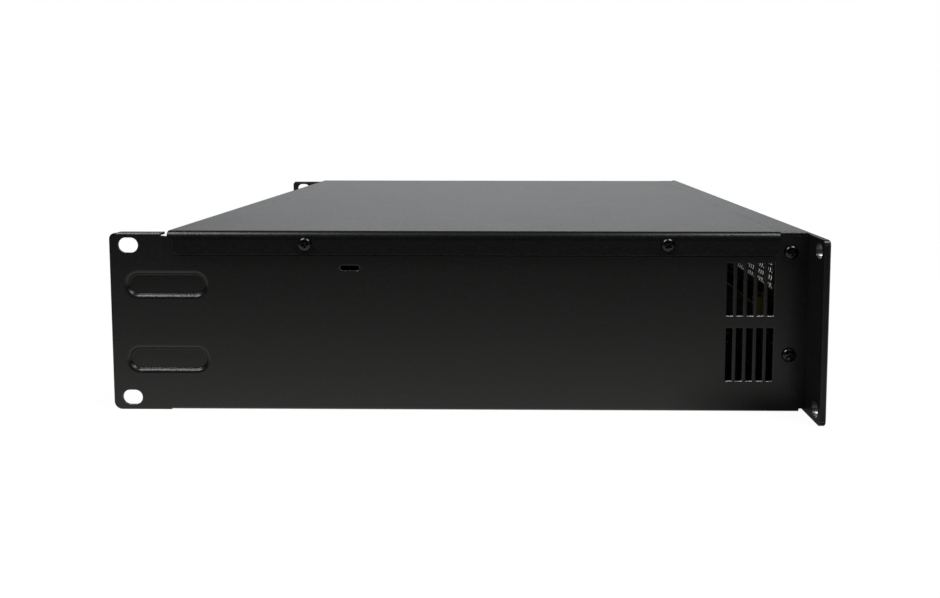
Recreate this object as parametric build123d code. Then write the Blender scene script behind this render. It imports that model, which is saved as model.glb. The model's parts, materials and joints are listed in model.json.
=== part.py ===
from build123d import *
import math
import os

# Two-unit rack-mounting stereo power amplifier, in millimetres.
# Frame: origin at the centre of the four front rack slots on the rear face of
# the front panel, +X to the right seen from the front, +Y to the rear, +Z up.

os.makedirs("parts", exist_ok=True)

# --- driving dimensions -------------------------------------------------------
PANEL_W = 482.6          # 19 inch front panel
PANEL_H = 88.4           # two rack units less clearance
PANEL_T = 3.0
PANEL_R = 2.5
RACK_X = 465.1 / 2       # rack slot centres
RACK_Z = 38.1
RACK_SLOT_L, RACK_SLOT_W = 10.0, 7.0

CLEAR = 0.02             # gap between parts that seat on each other
OVERLAP = 0.1            # overlap of joined shapes, and gap between nested sheets
THROUGH = 230            # half length of cuts across the whole body

WALL_X = 215.2           # outer face of the side walls
SHEET = 1.2              # chassis sheet
WALL_IN_X = WALL_X - SHEET
BOTTOM_Z = -44.2
FLOOR_Z = BOTTOM_Z + SHEET        # upper face of the bottom plate
FLANGE_Z = FLOOR_Z + OVERLAP      # lower face of flanges on the floor
WALL_TOP_Z = 44.1
WALL_H = WALL_TOP_Z - BOTTOM_Z
WALL_MID_Z = (WALL_TOP_Z + BOTTOM_Z) / 2
BODY_Y = 314.2           # rear edge of the bottom plate
EAR_Y = 342.8            # rear edge of the rear ears
EAR_SLOT_Y = 333.6
EAR_SLOT_L, EAR_SLOT_W = 9.9, 7.4
FOLD_Y0, FOLD_Y1 = 317.6, 339.5   # folded upper edge of the ears
BEAD_Y = 315.2           # stiffening beads
BEAD_Z = (18.5, -18.8)
BEAD_L, BEAD_W = 40.9, 12.8
BEAD_FLOOR_L, BEAD_FLOOR_W = 36.5, 8.4
BEAD_DEPTH = 1.8

COVER_T = 1.0
COVER_TOP_Z = WALL_TOP_Z + OVERLAP + COVER_T
COVER_X = WALL_X + OVERLAP + COVER_T      # outer face of the cover's lips
COVER_Y0, COVER_Y1 = 14.1, 314.1
LIP_Y0, LIP_Y1 = 14.4, 311.5
LIP_Z = 33.7             # lower edge of the lips
LIP_SCREWS = ((246.2, 38.9), (68.8, 38.9))        # y, z
SIDE_SCREWS = ((8.6, 35.3), (8.6, -15.6))         # y, z
STRIP_Y = 13.9           # depth of the front frame's top strip

VENT_Y = tuple(17.9 + 5.0 * i for i in range(5))
VENT_W = 3.0
VENT_ROWS = ((3.9, 29.8), (-28.7, -2.5))          # lower and upper z
SLIT_Y, SLIT_Z, SLIT_L, SLIT_H = 224.6, 27.0, 9.4, 2.3

WIN_X = 145.0            # half width of the intake window
WIN_Z0, WIN_Z1 = 3.0, 36.0
WIN_H = WIN_Z1 - WIN_Z0
WIN_MID_Z = (WIN_Z0 + WIN_Z1) / 2
GRILLE_FRONT_Y = -2.0
GRILLE_T = 0.8
GRILLE_PITCH = 5.0
GRILLE_HOLE_R = 2.0
KNOBS = (("a", -96.0), ("b", 96.0))               # channel, x
KNOB_Z = -21.0
KNOB_R = 11.5
LED_X = tuple(start + 8 * i for start in (-60, 20) for i in range(6))
LED_Z = -21.0
LED_R = 1.5
ROCKER_X, ROCKER_Z = 187.0, -4.0
ROCKER_Y = -2.2          # rocker pivot
ROCKER_TILT = 8.0

REAR_Y1 = 313.0          # outer face of the rear panel
REAR_Y0 = REAR_Y1 - SHEET
REAR_OUT = REAR_Y1 + CLEAR        # where parts outside the rear panel start
REAR_IN = REAR_Y0 - OVERLAP       # where parts inside the rear panel end
REAR_X = 211.0           # half width of the rear panel
REAR_TOP_Z = 43.9
FANS = (("a", 105.0), ("b", 15.0))                # tag, x
FAN_SIZE = 80.0
FAN_DEPTH = 25.0
FAN_Y0, FAN_Y1 = REAR_IN - FAN_DEPTH, REAR_IN
FAN_BORE_R = 38.0
FAN_HOLE = 71.5 / 2
INLET_X, INLET_Z = 183.0, -17.0
INLET_SCREW_DX = 20
INLET_FACE_Y = REAR_Y1 + 3.2
INLET_PINS = ((-7, -1.5), (0, 3.0), (7, -1.5))    # x, z from the inlet centre
BREAKER_X, BREAKER_Z = 183.0, 20.0
SPEAKER_X = -48.0
POSTS = ((-72.5, "red"), (-91.5, "black"))        # x, cap colour
SWITCH_X = -113.0
INPUT_X = -142.0
LINK_X = -176.0
SOCKET_X = (INPUT_X, LINK_X, SPEAKER_X)
SOCKET_SCREWS = ((-9.5, 12.0), (9.5, -12.0))      # x, z from the socket centre
SOCKET_FACE_Y = REAR_Y1 + 2.2
CHANNELS = (("a", 21.0), ("b", -21.0))            # channel, z of its connector row

SINK_Y0, SINK_Y1 = 165.0, 280.0
SINK_BASE_T = 8.0
# x of the device face, side the devices stand on, x of the fin tips
SINKS = {"a": (145.0, 1, 64.0), "b": (-25.0, -1, 56.0)}
SINK_HOLE_Y = (185.0, 260.0)
DEVICE_Y = (180.0, 204.0, 228.0, 252.0)
DEVICE_HOLE_Z = -4.0
BOARD_Z = -33.0          # underside of the horizontal boards
BOARD_T = 1.6
BOARD_TOP = BOARD_Z + BOARD_T
CONTROL_BOARD_Y0 = 8.0
CONTROL_BOARD_Y1 = CONTROL_BOARD_Y0 + BOARD_T
TOROID_X, TOROID_Y = -85.0, 102.0
TOROID_R, TOROID_H = 57.0, 52.0
TOROID_Z0 = -40.8
TOROID_TOP = TOROID_Z0 + TOROID_H
CLAMP_Z = TOROID_TOP + 2.24       # underside of the transformer clamp
BRIDGE_X, BRIDGE_Y = 34.0, 134.0

# screw places: x, y in the floor; x, z in the front
SINK_HOLES = [(face_x - out * SINK_BASE_T / 2, y)
              for face_x, out, _ in SINKS.values() for y in SINK_HOLE_Y]
FRAME_HOLES = [(x, 8.0) for x in (-150, 0, 150)]
REAR_HOLES = [(x, 304.5) for x in (-160, -60, 60, 160)]
FLOOR_SCREWS = SINK_HOLES + FRAME_HOLES + REAR_HOLES
AMP_A_POSTS = [(150.0, 140.0), (205.0, 140.0), (150.0, 278.0), (205.0, 278.0)]
AMP_B_POSTS = [(-30.0, 190.0), (-95.0, 190.0), (-30.0, 278.0), (-95.0, 278.0)]
SUPPLY_POSTS = [(76.0, 50.0), (204.0, 50.0), (76.0, 130.0), (204.0, 130.0)]
FLOOR_POSTS = AMP_A_POSTS + AMP_B_POSTS + SUPPLY_POSTS
PANEL_SCREWS = [(-205.0, 30.0), (-205.0, -30.0), (205.0, 30.0), (205.0, -30.0)]
CONTROL_POSTS = [(-174.0, -34.0), (-76.0, -34.0), (76.0, -34.0), (122.0, -8.0)]

SIGNS = (-1, 1)
CORNERS = [(sx, sz) for sx in SIGNS for sz in SIGNS]


# --- helpers ------------------------------------------------------------------
def block(x0, x1, y0, y1, z0, z1):
    return Pos((x0 + x1) / 2, (y0 + y1) / 2, (z0 + z1) / 2) * Box(x1 - x0, y1 - y0, z1 - z0)


def bar_y(x, z, width, height, y0, y1):
    """Rectangular bar along Y, centred on x and z."""
    return Pos(x, (y0 + y1) / 2, z) * Box(width, y1 - y0, height)


def rod_x(y, z, r, x0, x1):
    return Pos((x0 + x1) / 2, y, z) * Rot(0, 90, 0) * Cylinder(r, x1 - x0)


def rod_y(x, z, r, y0, y1):
    return Pos(x, (y0 + y1) / 2, z) * Rot(90, 0, 0) * Cylinder(r, y1 - y0)


def rod_z(x, y, r, z0, z1):
    return Pos(x, y, (z0 + z1) / 2) * Cylinder(r, z1 - z0)


def side_holes(y, z, r):
    """Cutter through both side walls."""
    return rod_x(y, z, r, -THROUGH, THROUGH)


def floor_hole(x, y, r):
    """Cutter through the floor and a flange lying on it."""
    return rod_z(x, y, r, -50, -40)


def plate_y(sketch, y0, y1):
    """Sketch drawn in X and Z, as a plate from y0 to y1."""
    plane = Plane(origin=(0, y0, 0), x_dir=(1, 0, 0), z_dir=(0, -1, 0))
    return extrude(plane * sketch, amount=y1 - y0, dir=(0, 1, 0))


def plate_x(sketch, x0, x1):
    """Sketch drawn in Y and Z, as a plate from x0 to x1."""
    plane = Plane(origin=(x0, 0, 0), x_dir=(0, 1, 0), z_dir=(1, 0, 0))
    return extrude(plane * sketch, amount=x1 - x0, dir=(1, 0, 0))


def circle_points(x, z, radius, count, first=0.0):
    """Evenly spaced points on a circle, the first at that many degrees from +X."""
    angles = [math.radians(first + 360 / count * k) for k in range(count)]
    return [(x + radius * math.cos(a), z + radius * math.sin(a)) for a in angles]


def both_sides(part):
    return [part, mirror(part, about=Plane.YZ)]


def aim(part, pos, direction):
    """Puts a part drawn along +Z at pos with +Z turned to direction."""
    return Plane(origin=pos, z_dir=direction) * part


def pan_screw(head_r, head_h, shank_r, shank_l, turn=0.0, recess=True):
    """Pan-head cross-recess screw, underside of the head at Z 0, head up."""
    head = Pos(0, 0, head_h / 2) * Cylinder(head_r, head_h)
    head = fillet(head.edges().sort_by(Axis.Z)[-1], head_h * 0.62)
    if recess:
        arm = head_r * 1.15
        for angle in (turn, turn + 90):
            head -= Pos(0, 0, head_h) * Rot(0, 0, angle) * Box(arm, head_r * 0.26, head_h * 1.1)
    return head + Pos(0, 0, -shank_l / 2) * Cylinder(shank_r, shank_l)


def flush_screw(head_r, head_h, shank_r, shank_l, turn=0.0):
    """Countersunk screw with its flat head face at Z 0, shank down."""
    head = Pos(0, 0, -head_h / 2) * Cone(shank_r, head_r, head_h)
    for angle in (turn, turn + 90):
        head -= Rot(0, 0, angle) * Box(head_r * 1.1, head_r * 0.24, head_h * 1.2)
    return head + Pos(0, 0, -head_h - shank_l / 2) * Cylinder(shank_r, shank_l)


def board_screw():
    return pan_screw(head_r=2.8, head_h=1.8, shank_r=1.48, shank_l=6.0, recess=False)


def save(name, *shapes):
    solids = []
    for shape in shapes:
        solids += list(shape.solids())
    export_step(solids[0] if len(solids) == 1 else Compound(solids), "parts/" + name + ".step")


# --- base pan: bottom, side walls, rear ears ----------------------------------
def pan_channel():
    """U-shaped bottom and side walls."""
    outer = Pos(0, WALL_MID_Z) * Rectangle(2 * WALL_X, WALL_H)
    outer = fillet(outer.vertices().sort_by(Axis.Y)[:2], 1.6)
    outer = fillet(outer.vertices().sort_by(Axis.Y)[-2:], 1.0)
    inner = Pos(0, WALL_MID_Z + SHEET) * Rectangle(2 * WALL_IN_X, WALL_H)
    inner = fillet(inner.vertices().sort_by(Axis.Y)[:2], 0.5)
    return plate_y(outer - inner, 0, BODY_Y)


def rear_ear():
    """Right rear ear with its rack slots and inward fold."""
    ear = Pos((BODY_Y + EAR_Y) / 2, WALL_MID_Z) * Rectangle(EAR_Y - BODY_Y, WALL_H)
    for corner_z, radius in ((BOTTOM_Z, 4.0), (WALL_TOP_Z, 3.0)):
        corner = ear.vertices().filter_by(
            lambda v: abs(v.X - EAR_Y) < 0.01 and abs(v.Y - corner_z) < 0.01)
        ear = fillet(corner, radius)
    for z in (RACK_Z, -RACK_Z):
        ear -= Pos(EAR_SLOT_Y, z) * SlotOverall(EAR_SLOT_L, EAR_SLOT_W)
    plate = plate_x(ear, WALL_IN_X, WALL_X)
    # the upper edge makes way for the fold
    plate -= block(WALL_X - 3, WALL_X + 1, FOLD_Y0, FOLD_Y1, WALL_TOP_Z - 2.0, 60)
    fold_w, fold_h = 7.2, 2.1
    fold = Pos(WALL_X - SHEET / 2, WALL_TOP_Z - fold_h / 2) * Rectangle(SHEET, fold_h)
    fold += Pos(WALL_X - fold_w / 2, WALL_TOP_Z - SHEET / 2) * Rectangle(fold_w, SHEET)
    fold = fillet(fold.vertices().sort_by(lambda v: -(v.X + v.Y))[0], 1.1)
    return plate + plate_y(fold, FOLD_Y0, FOLD_Y1)


def bead(grow, x_out, x_in, z):
    """Tapered slot shape in the right wall, enlarged by grow."""
    sections = []
    for x, length, width in ((x_out, BEAD_L, BEAD_W), (x_in, BEAD_FLOOR_L, BEAD_FLOOR_W)):
        plane = Plane(origin=(x, BEAD_Y, z), x_dir=(0, 1, 0), z_dir=(1, 0, 0))
        sections.append(plane * SlotOverall(length + grow, width + grow))
    return loft(sections)


def pan_cuts():
    cuts = []
    for z0, z1 in VENT_ROWS:
        for y in VENT_Y:
            cuts.append(block(-THROUGH, THROUGH, y - VENT_W / 2, y + VENT_W / 2, z0, z1))
    cuts.append(plate_x(Pos(SLIT_Y, SLIT_Z) * SlotOverall(SLIT_L, SLIT_H), -THROUGH, THROUGH))
    for y, z in SIDE_SCREWS:
        cuts.append(side_holes(y, z, 2.0))
    for y, z in LIP_SCREWS:
        cuts.append(side_holes(y, z, 1.8))
    # relief in the top edge behind the body, and the bend relief at the front corners
    cuts.append(block(-THROUGH, THROUGH, 314.3, 317.5, 42.7, 50))
    for x0, x1 in ((-THROUGH, -209), (209, THROUGH)):
        cuts.append(block(x0, x1, -1, 2.9, -50, -42.6))
    # the front strip sits over the walls here
    cuts.append(block(-THROUGH, THROUGH, -1, 14.0, 43.9, 50))
    cuts.append(floor_hole(TOROID_X, TOROID_Y, 7.0))
    for x, y in FLOOR_SCREWS:
        cuts.append(Pos(x, y, BOTTOM_Z + SHEET / 2) * Cone(4.2, 2.2, SHEET))
        cuts.append(rod_z(x, y, 2.2, BOTTOM_Z, -42))
    for x, y in FLOOR_POSTS + [(BRIDGE_X, BRIDGE_Y)]:
        cuts.append(floor_hole(x, y, 2.3))
    return cuts


def base_pan():
    pan = pan_channel()
    for part in both_sides(rear_ear()):
        pan += part
    # inward folds along the top of the walls
    wall_fold = block(WALL_IN_X - 10, WALL_X - SHEET / 2, 16, 310, WALL_TOP_Z - SHEET, WALL_TOP_Z)
    for part in both_sides(wall_fold):
        pan += part
    for z in BEAD_Z:
        for part in both_sides(bead(1.6, WALL_IN_X + 0.3, WALL_IN_X - BEAD_DEPTH, z)):
            pan += part
        for part in both_sides(bead(0, WALL_X, WALL_X - BEAD_DEPTH, z)):
            pan -= part
    return pan - pan_cuts()


# --- top cover ----------------------------------------------------------------
def top_cover():
    height = COVER_TOP_Z - LIP_Z
    mid_z = (LIP_Z + COVER_TOP_Z) / 2
    outer = Pos(0, mid_z) * Rectangle(2 * COVER_X, height)
    outer = fillet(outer.vertices().sort_by(Axis.Y)[-2:], 2.0)
    inner = Pos(0, mid_z - COVER_T) * Rectangle(2 * (COVER_X - COVER_T), height)
    inner = fillet(inner.vertices().sort_by(Axis.Y)[-2:], 1.0)
    cover = plate_y(outer - inner, COVER_Y0, COVER_Y1)
    # the lips keep a rounded outline shorter than the cover
    lip = RectangleRounded(LIP_Y1 - LIP_Y0, 40, 3.0)
    keep = plate_x(Pos((LIP_Y0 + LIP_Y1) / 2, LIP_Z + 20) * lip, -THROUGH, THROUGH)
    cover -= block(-229, 229, COVER_Y0 - 2, COVER_Y1 + 2, 30, 42.3) - keep
    for y, z in LIP_SCREWS:
        cover -= side_holes(y, z, 2.0)
    return cover


# --- front frame and panel ----------------------------------------------------
def grille_seat():
    return Pos(0, WIN_MID_Z) * RectangleRounded(2 * WIN_X + 7, WIN_H + 7, 2.0)


def cut_controls(face, led_hole_r):
    """Cuts the openings for knobs, indicators and rocker."""
    for _, x in KNOBS:
        face -= Pos(x, KNOB_Z) * Circle(3.7)
    for x in LED_X:
        face -= Pos(x, LED_Z) * Circle(led_hole_r)
    return face - Pos(ROCKER_X, ROCKER_Z) * Rectangle(13.2, 19.2)


def front_frame():
    """Sub-panel with top strip and folded flanges."""
    half_w = WALL_IN_X - OVERLAP
    z0, z1 = -42.8, 44.5
    flange_y = 13.4
    face = Pos(0, (z0 + z1) / 2) * Rectangle(2 * half_w, z1 - z0)
    face -= grille_seat()
    face = cut_controls(face, 1.8)
    for side in SIGNS:
        face -= Pos(side * half_w, z0) * Rectangle(2.0, 2.0)
    for x, z in PANEL_SCREWS + CONTROL_POSTS:
        face -= Pos(x, z) * Circle(1.6)
    frame = plate_y(face, 0, SHEET)
    strip = Pos(0, COVER_TOP_Z - SHEET / 2) * Rectangle(2 * WALL_X, SHEET)
    strip = fillet(strip.vertices().sort_by(Axis.Y)[-2:], 0.8)
    frame += plate_y(strip, 0, STRIP_Y)
    for flange in both_sides(block(half_w - SHEET, half_w, 0, flange_y, -41.6, 44.1)):
        frame += flange
    frame += block(-half_w + SHEET, half_w - SHEET, 0, flange_y, FLANGE_Z, FLANGE_Z + SHEET)
    for y, z in SIDE_SCREWS:
        frame -= side_holes(y, z, 1.8)
    for x, y in FRAME_HOLES:
        frame -= floor_hole(x, y, 1.8)
    return frame


def front_panel():
    face = RectangleRounded(PANEL_W, PANEL_H, PANEL_R)
    for sx, sz in CORNERS:
        face -= Pos(sx * RACK_X, sz * RACK_Z) * SlotOverall(RACK_SLOT_L, RACK_SLOT_W)
    face -= Pos(0, WIN_MID_Z) * RectangleRounded(2 * WIN_X, WIN_H, 4.0)
    face = cut_controls(face, 1.6)
    panel = plate_y(face, -PANEL_T, 0)
    # bevel the front outline and the window, picked by their long edges
    panel = chamfer(panel.edges().filter_by(
        lambda e: abs(e.center().Y + PANEL_T) < 0.01 and e.length > 70), 0.5)
    panel -= plate_y(grille_seat(), GRILLE_FRONT_Y, 1)
    for x, z in PANEL_SCREWS:
        panel -= rod_y(x, z, 2.2, -4, 1)
        panel -= Pos(x, -PANEL_T + 1.0, z) * Rot(90, 0, 0) * Cone(2.2, 4.0, 2.0)
    return panel


def front_panel_screws():
    return [aim(flush_screw(head_r=3.9, head_h=1.9, shank_r=1.55, shank_l=5.5, turn=17 + 31 * i),
                (x, -PANEL_T, z), (0, -1, 0))
            for i, (x, z) in enumerate(PANEL_SCREWS)]


def front_grille():
    """Perforated sheet with staggered rows of round holes."""
    plane = Plane(origin=(0, GRILLE_FRONT_Y, WIN_MID_Z), x_dir=(1, 0, 0), z_dir=(0, -1, 0))
    sheet = plane * RectangleRounded(2 * WIN_X + 6.4, WIN_H + 6.4, 1.8)
    row_pitch = GRILLE_PITCH * math.sqrt(3) / 2
    holes = []
    for row in range(-3, 4):
        shift = 0 if row % 2 == 0 else GRILLE_PITCH / 2
        for column in range(-40, 41):
            x = column * GRILLE_PITCH + shift
            if abs(x) <= WIN_X - 2.6:
                centre = plane.from_local_coords((x, row * row_pitch, 0))
                holes.append(Wire.make_circle(GRILLE_HOLE_R, Plane(
                    origin=centre, x_dir=(1, 0, 0), z_dir=(0, -1, 0))))
    return extrude(Face(sheet.faces()[0].outer_wire(), holes), amount=GRILLE_T, dir=(0, 1, 0))


# --- gain controls ------------------------------------------------------------
def gain_knob(x):
    front, skirt_front, back = -19.5, -6.4, -3.9
    knob = rod_y(x, KNOB_Z, KNOB_R, front, back)
    knob = fillet(knob.edges().sort_by(Axis.Y)[0], 1.2)
    skirt = rod_y(x, KNOB_Z, KNOB_R + 1.5, skirt_front, back)
    knob += chamfer(skirt.edges().sort_by(Axis.Y)[0], 0.8)
    for groove_x, groove_z in circle_points(x, KNOB_Z, KNOB_R + 0.35, 24, 7.5):
        knob -= rod_y(groove_x, groove_z, 0.8, front + 1.5, skirt_front)
    # hollow back and shaft bore
    knob -= rod_y(x, KNOB_Z, 8.5, -7.6, -3)
    knob -= rod_y(x, KNOB_Z, 3.02, -17.0, -3)
    # inlaid pointer groove, straight up at mid travel
    return knob - block(x - 0.7, x + 0.7, -20, -18.9, KNOB_Z + 3.0, KNOB_Z + KNOB_R + 1)


def gain_pot(x):
    body = block(x - 8, x + 8, SHEET + 0.1, 7.9, KNOB_Z - 8.5, KNOB_Z + 9.5)
    body += rod_y(x, KNOB_Z, 3.5, -6.4, SHEET + 0.2)
    return body - rod_y(x, KNOB_Z, 3.05, -7, 5.8)


def pot_nut(x):
    nut = plate_y(Pos(x, KNOB_Z) * RegularPolygon(5.6, 6), -5.3, -PANEL_T)
    return nut - rod_y(x, KNOB_Z, 3.52, -6, -2)


# --- control board and indicators ---------------------------------------------
def control_board():
    face_y = CONTROL_BOARD_Y1
    board = block(-180, 130, CONTROL_BOARD_Y0, face_y, -38.5, -3.5)
    for x, z in CONTROL_POSTS:
        board -= rod_y(x, z, 1.7, 7, 11)
    # three components on the rear side
    board += block(-20, 20, face_y, 11.8, -36, -12)
    board += block(-174, -163, face_y, 15.0, -9.5, 6.4)
    return board + block(60, 100, face_y, 18.0, -16, -9)


def indicator_led(x):
    led = rod_y(x, LED_Z, LED_R, -3.3, 3.8)
    led = fillet(led.edges().sort_by(Axis.Y)[0], 1.0)
    led += rod_y(x, LED_Z, 1.9, 2.6, 3.8)
    for lead_x in (x - 0.65, x + 0.65):
        led += bar_y(lead_x, LED_Z, 0.5, 0.5, 3.6, CONTROL_BOARD_Y0)
    return led


# --- power rocker -------------------------------------------------------------
def power_switch_housing():
    x, z = ROCKER_X, ROCKER_Z
    housing = plate_y(Pos(x, z) * RectangleRounded(16, 22, 1.2), -5.0, -PANEL_T - CLEAR)
    housing += bar_y(x, z, 13.0, 19.0, -3.1, 16)
    housing -= bar_y(x, z, 11.2, 17.4, -6, 7.5)
    housing -= rod_x(ROCKER_Y, z, 1.56, x - 6.2, x + 6.2)
    for dz in (-6, 0, 6):
        housing += bar_y(x, z + dz, 4.8, 0.8, 15.9, 23)
    return housing


def power_rocker():
    # y, z from the pivot; the front face is dished
    profile = Polygon((-3.6, 7.5), (-2.4, 0), (-3.6, -7.5), (0.5, -7.8),
                      (4.5, -4.0), (5.2, 0), (4.5, 4.0), (0.5, 7.8), align=None)
    rocker = plate_x(profile, -5.3, 5.3)
    rocker = fillet(rocker.edges().filter_by(Axis.X).filter_by(
        lambda e: e.center().Y < -3.5), 0.6)
    rocker += rod_x(0, 0, 1.5, -6.1, 6.1)
    return Pos(ROCKER_X, ROCKER_Y, ROCKER_Z) * Rot(ROCKER_TILT, 0, 0) * rocker


# --- case and bottom screws ---------------------------------------------------
def case_screws():
    screws = []
    for side in SIGNS:
        for places, head_r, seat_x in ((LIP_SCREWS, 3.4, COVER_X), (SIDE_SCREWS, 3.5, WALL_X)):
            for y, z in places:
                screw = pan_screw(head_r, head_h=2.3, shank_r=1.75, shank_l=6.5,
                                  turn=12 + 37 * len(screws))
                screws.append(aim(screw, (side * seat_x, y, z), (side, 0, 0)))
    return screws


def bottom_screws():
    return [aim(flush_screw(head_r=4.1, head_h=1.1, shank_r=1.75, shank_l=4.0, turn=13 + 29 * i),
                (x, y, BOTTOM_Z), (0, 0, -1))
            for i, (x, y) in enumerate(FLOOR_SCREWS)]


# --- rear panel ---------------------------------------------------------------
def rear_panel():
    face = Pos(0, (REAR_TOP_Z + FLANGE_Z) / 2) * Rectangle(2 * REAR_X, REAR_TOP_Z - FLANGE_Z)
    for _, x in FANS:
        face -= Pos(x, 0) * Circle(FAN_BORE_R)
        for sx, sz in CORNERS:
            face -= Pos(x + sx * FAN_HOLE, sz * FAN_HOLE) * Circle(2.2)
    face -= Pos(INLET_X, INLET_Z) * Rectangle(28.0, 20.6)
    for side in SIGNS:
        face -= Pos(INLET_X + side * INLET_SCREW_DX, INLET_Z) * Circle(1.7)
    face -= Pos(BREAKER_X, BREAKER_Z) * Circle(5.6)
    for _, z in CHANNELS:
        for x in SOCKET_X:
            face -= Pos(x, z) * Circle(12.0)
            for dx, dz in SOCKET_SCREWS:
                face -= Pos(x + dx, z + dz) * Circle(1.6)
        for x, _ in POSTS:
            face -= Pos(x, z) * Circle(4.1)
    face -= Pos(SWITCH_X, 0) * Rectangle(5.0, 10.6)
    for side in SIGNS:
        face -= Pos(SWITCH_X, side * 9.5) * Circle(1.3)
    rear = plate_y(face, REAR_Y0, REAR_Y1)
    # forward flanges at the bottom and top
    y0, y1 = 299, REAR_Y0 + OVERLAP
    rear += block(-REAR_X, REAR_X, y0, y1, FLANGE_Z, FLANGE_Z + SHEET)
    rear += block(-203, 203, y0, y1, REAR_TOP_Z - SHEET, REAR_TOP_Z)
    for x, y in REAR_HOLES:
        rear -= floor_hole(x, y, 1.8)
    return rear


# --- fans ---------------------------------------------------------------------
FAN_HUB_Y1 = FAN_Y1 - 7.0         # rear face of the rotor hub
GUARD_Y = REAR_Y1 + 2.6           # plane of the guard's rings
FAN_BOLT_R = FAN_HOLE * math.sqrt(2)
# clockwise from the top right, seen from the front
FAN_BOLTS = ((1, 1), (1, -1), (-1, -1), (-1, 1))


def fan_frame(x):
    ring = RectangleRounded(FAN_SIZE, FAN_SIZE, 4.0) - Circle(FAN_BORE_R)
    for sx, sz in CORNERS:
        ring -= Pos(sx * FAN_HOLE, sz * FAN_HOLE) * Circle(2.2)
    body = plate_y(Pos(x, 0) * ring, FAN_Y0, FAN_Y1)
    # outer waist between the two flanges
    waist = Rectangle(90, 90) - Circle(FAN_BORE_R + 1.6)
    body -= plate_y(Pos(x, 0) * waist, FAN_Y0 + 4.0, FAN_Y1 - 4.0)
    # motor mount on four struts
    body += rod_y(x, 0, 14.5, FAN_Y1 - 6.5, FAN_Y1)
    for k in range(4):
        strut = Pos(FAN_BORE_R / 2 + 6.5, 0) * Rectangle(FAN_BORE_R - 11.0, 3.0)
        body += plate_y(Pos(x, 0) * (Rot(0, 0, 53 + 90 * k) * strut), FAN_Y1 - 3.5, FAN_Y1)
    return body - rod_y(x, 0, 1.55, FAN_Y1 - 7, FAN_Y1 - 1.5)


def fan_rotor(x):
    blades = 7
    rotor = rod_y(x, 0, 15.5, FAN_Y0 + 1.0, FAN_HUB_Y1)
    rotor = fillet(rotor.edges().sort_by(Axis.Y)[0], 1.2)
    blade_mid = (FAN_Y0 + 2.0 + FAN_HUB_Y1) / 2
    blade = Rot(35, 0, 0) * (Pos(25.0, 0, 0) * Box(22.0, 1.5, 22.0))
    for k in range(blades):
        rotor += Pos(x, blade_mid, 0) * Rot(0, 360 / blades * k, 0) * Rot(90, 0, 0) * blade
    # trim the blade tips and edges
    rotor = rotor & rod_y(x, 0, 36.4, FAN_Y0 + 0.8, FAN_HUB_Y1)
    return rotor + rod_y(x, 0, 1.5, FAN_HUB_Y1 - 1, FAN_Y1 - 2.0)


def fan_guard(x):
    """Five wire rings on four spokes that end in bolt eyes."""
    def wire_ring(radius):
        return Pos(x, GUARD_Y, 0) * Rot(90, 0, 0) * Torus(radius, 0.9)

    guard = wire_ring(37.5)
    for radius in (30.5, 23.5, 16.5, 9.5):
        guard += wire_ring(radius)
    spoke = rod_z(0, 0, 0.9, 8.5, FAN_BOLT_R - 2.7)
    eye = rod_y(0, 0, 3.6, REAR_OUT, GUARD_Y - 0.3) - rod_y(0, 0, 2.2, REAR_Y1 - 1, GUARD_Y + 2)
    for k, (sx, sz) in enumerate(FAN_BOLTS):
        guard += Pos(x, GUARD_Y - 1.3, 0) * Rot(0, 45 + 90 * k, 0) * spoke
        guard += Pos(x + sx * FAN_HOLE, 0, sz * FAN_HOLE) * eye
    return guard


def fan_screws(x):
    return [aim(pan_screw(head_r=3.4, head_h=2.2, shank_r=1.95, shank_l=30.0, turn=21 + 33 * k),
                (x + sx * FAN_HOLE, GUARD_Y - 0.25, sz * FAN_HOLE), (0, 1, 0))
            for k, (sx, sz) in enumerate(FAN_BOLTS)]


# --- mains inlet, breaker -----------------------------------------------------
def mains_inlet():
    x, z = INLET_X, INLET_Z
    inlet = plate_y(Pos(x, z) * RectangleRounded(50, 23.6, 3), REAR_OUT, INLET_FACE_Y)
    inlet += bar_y(x, z, 27.6, 20.2, 289, REAR_Y1 + OVERLAP)
    cavity = Polygon((-12, 8), (-12, -4), (-8, -8), (8, -8), (12, -4), (12, 8), align=None)
    inlet -= plate_y(Pos(x, z) * cavity, INLET_FACE_Y - 17, REAR_Y1 + 4)
    for dx, dz in INLET_PINS:
        inlet -= bar_y(x + dx, z + dz, 2.04, 4.04, 288, 310)
    for side in SIGNS:
        inlet -= rod_y(x + side * INLET_SCREW_DX, z, 1.7, 312, 318)
    return inlet


def inlet_pins():
    return [bar_y(INLET_X + dx, INLET_Z + dz, 2.0, 4.0, 281, 311.5) for dx, dz in INLET_PINS]


def breaker_body():
    x, z = BREAKER_X, BREAKER_Z
    back_y = 283
    body = bar_y(x, z, 14, 34, back_y, REAR_IN)
    body += rod_y(x, z, 5.5, REAR_Y0 - 0.2, REAR_Y1 + 6.5)
    body += plate_y(Pos(x, z) * (RegularPolygon(8.4, 6) - Circle(5.4)), REAR_OUT, REAR_Y1 + 2.6)
    body -= rod_y(x, z, 3.3, 300, 325)
    for dz in (-9, 9):
        body += bar_y(x, z + dz, 6.4, 0.8, 272, back_y + OVERLAP)
    return body


def breaker_button():
    button = rod_y(BREAKER_X, BREAKER_Z, 3.25, 302, REAR_Y1 + 9.5)
    return fillet(button.edges().sort_by(Axis.Y)[-1], 0.6)


# --- signal and speaker connectors --------------------------------------------
def socket_shell(x, z):
    """Rectangular flange with two screw holes, and a round body through the panel."""
    body = plate_y(Pos(x, z) * RectangleRounded(26, 31, 3.0), REAR_OUT, SOCKET_FACE_Y)
    for dx, dz in SOCKET_SCREWS:
        body -= rod_y(x + dx, z + dz, 1.7, 312, 320)
    return body + rod_y(x, z, 11.8, 286, REAR_Y1 + OVERLAP)


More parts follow.
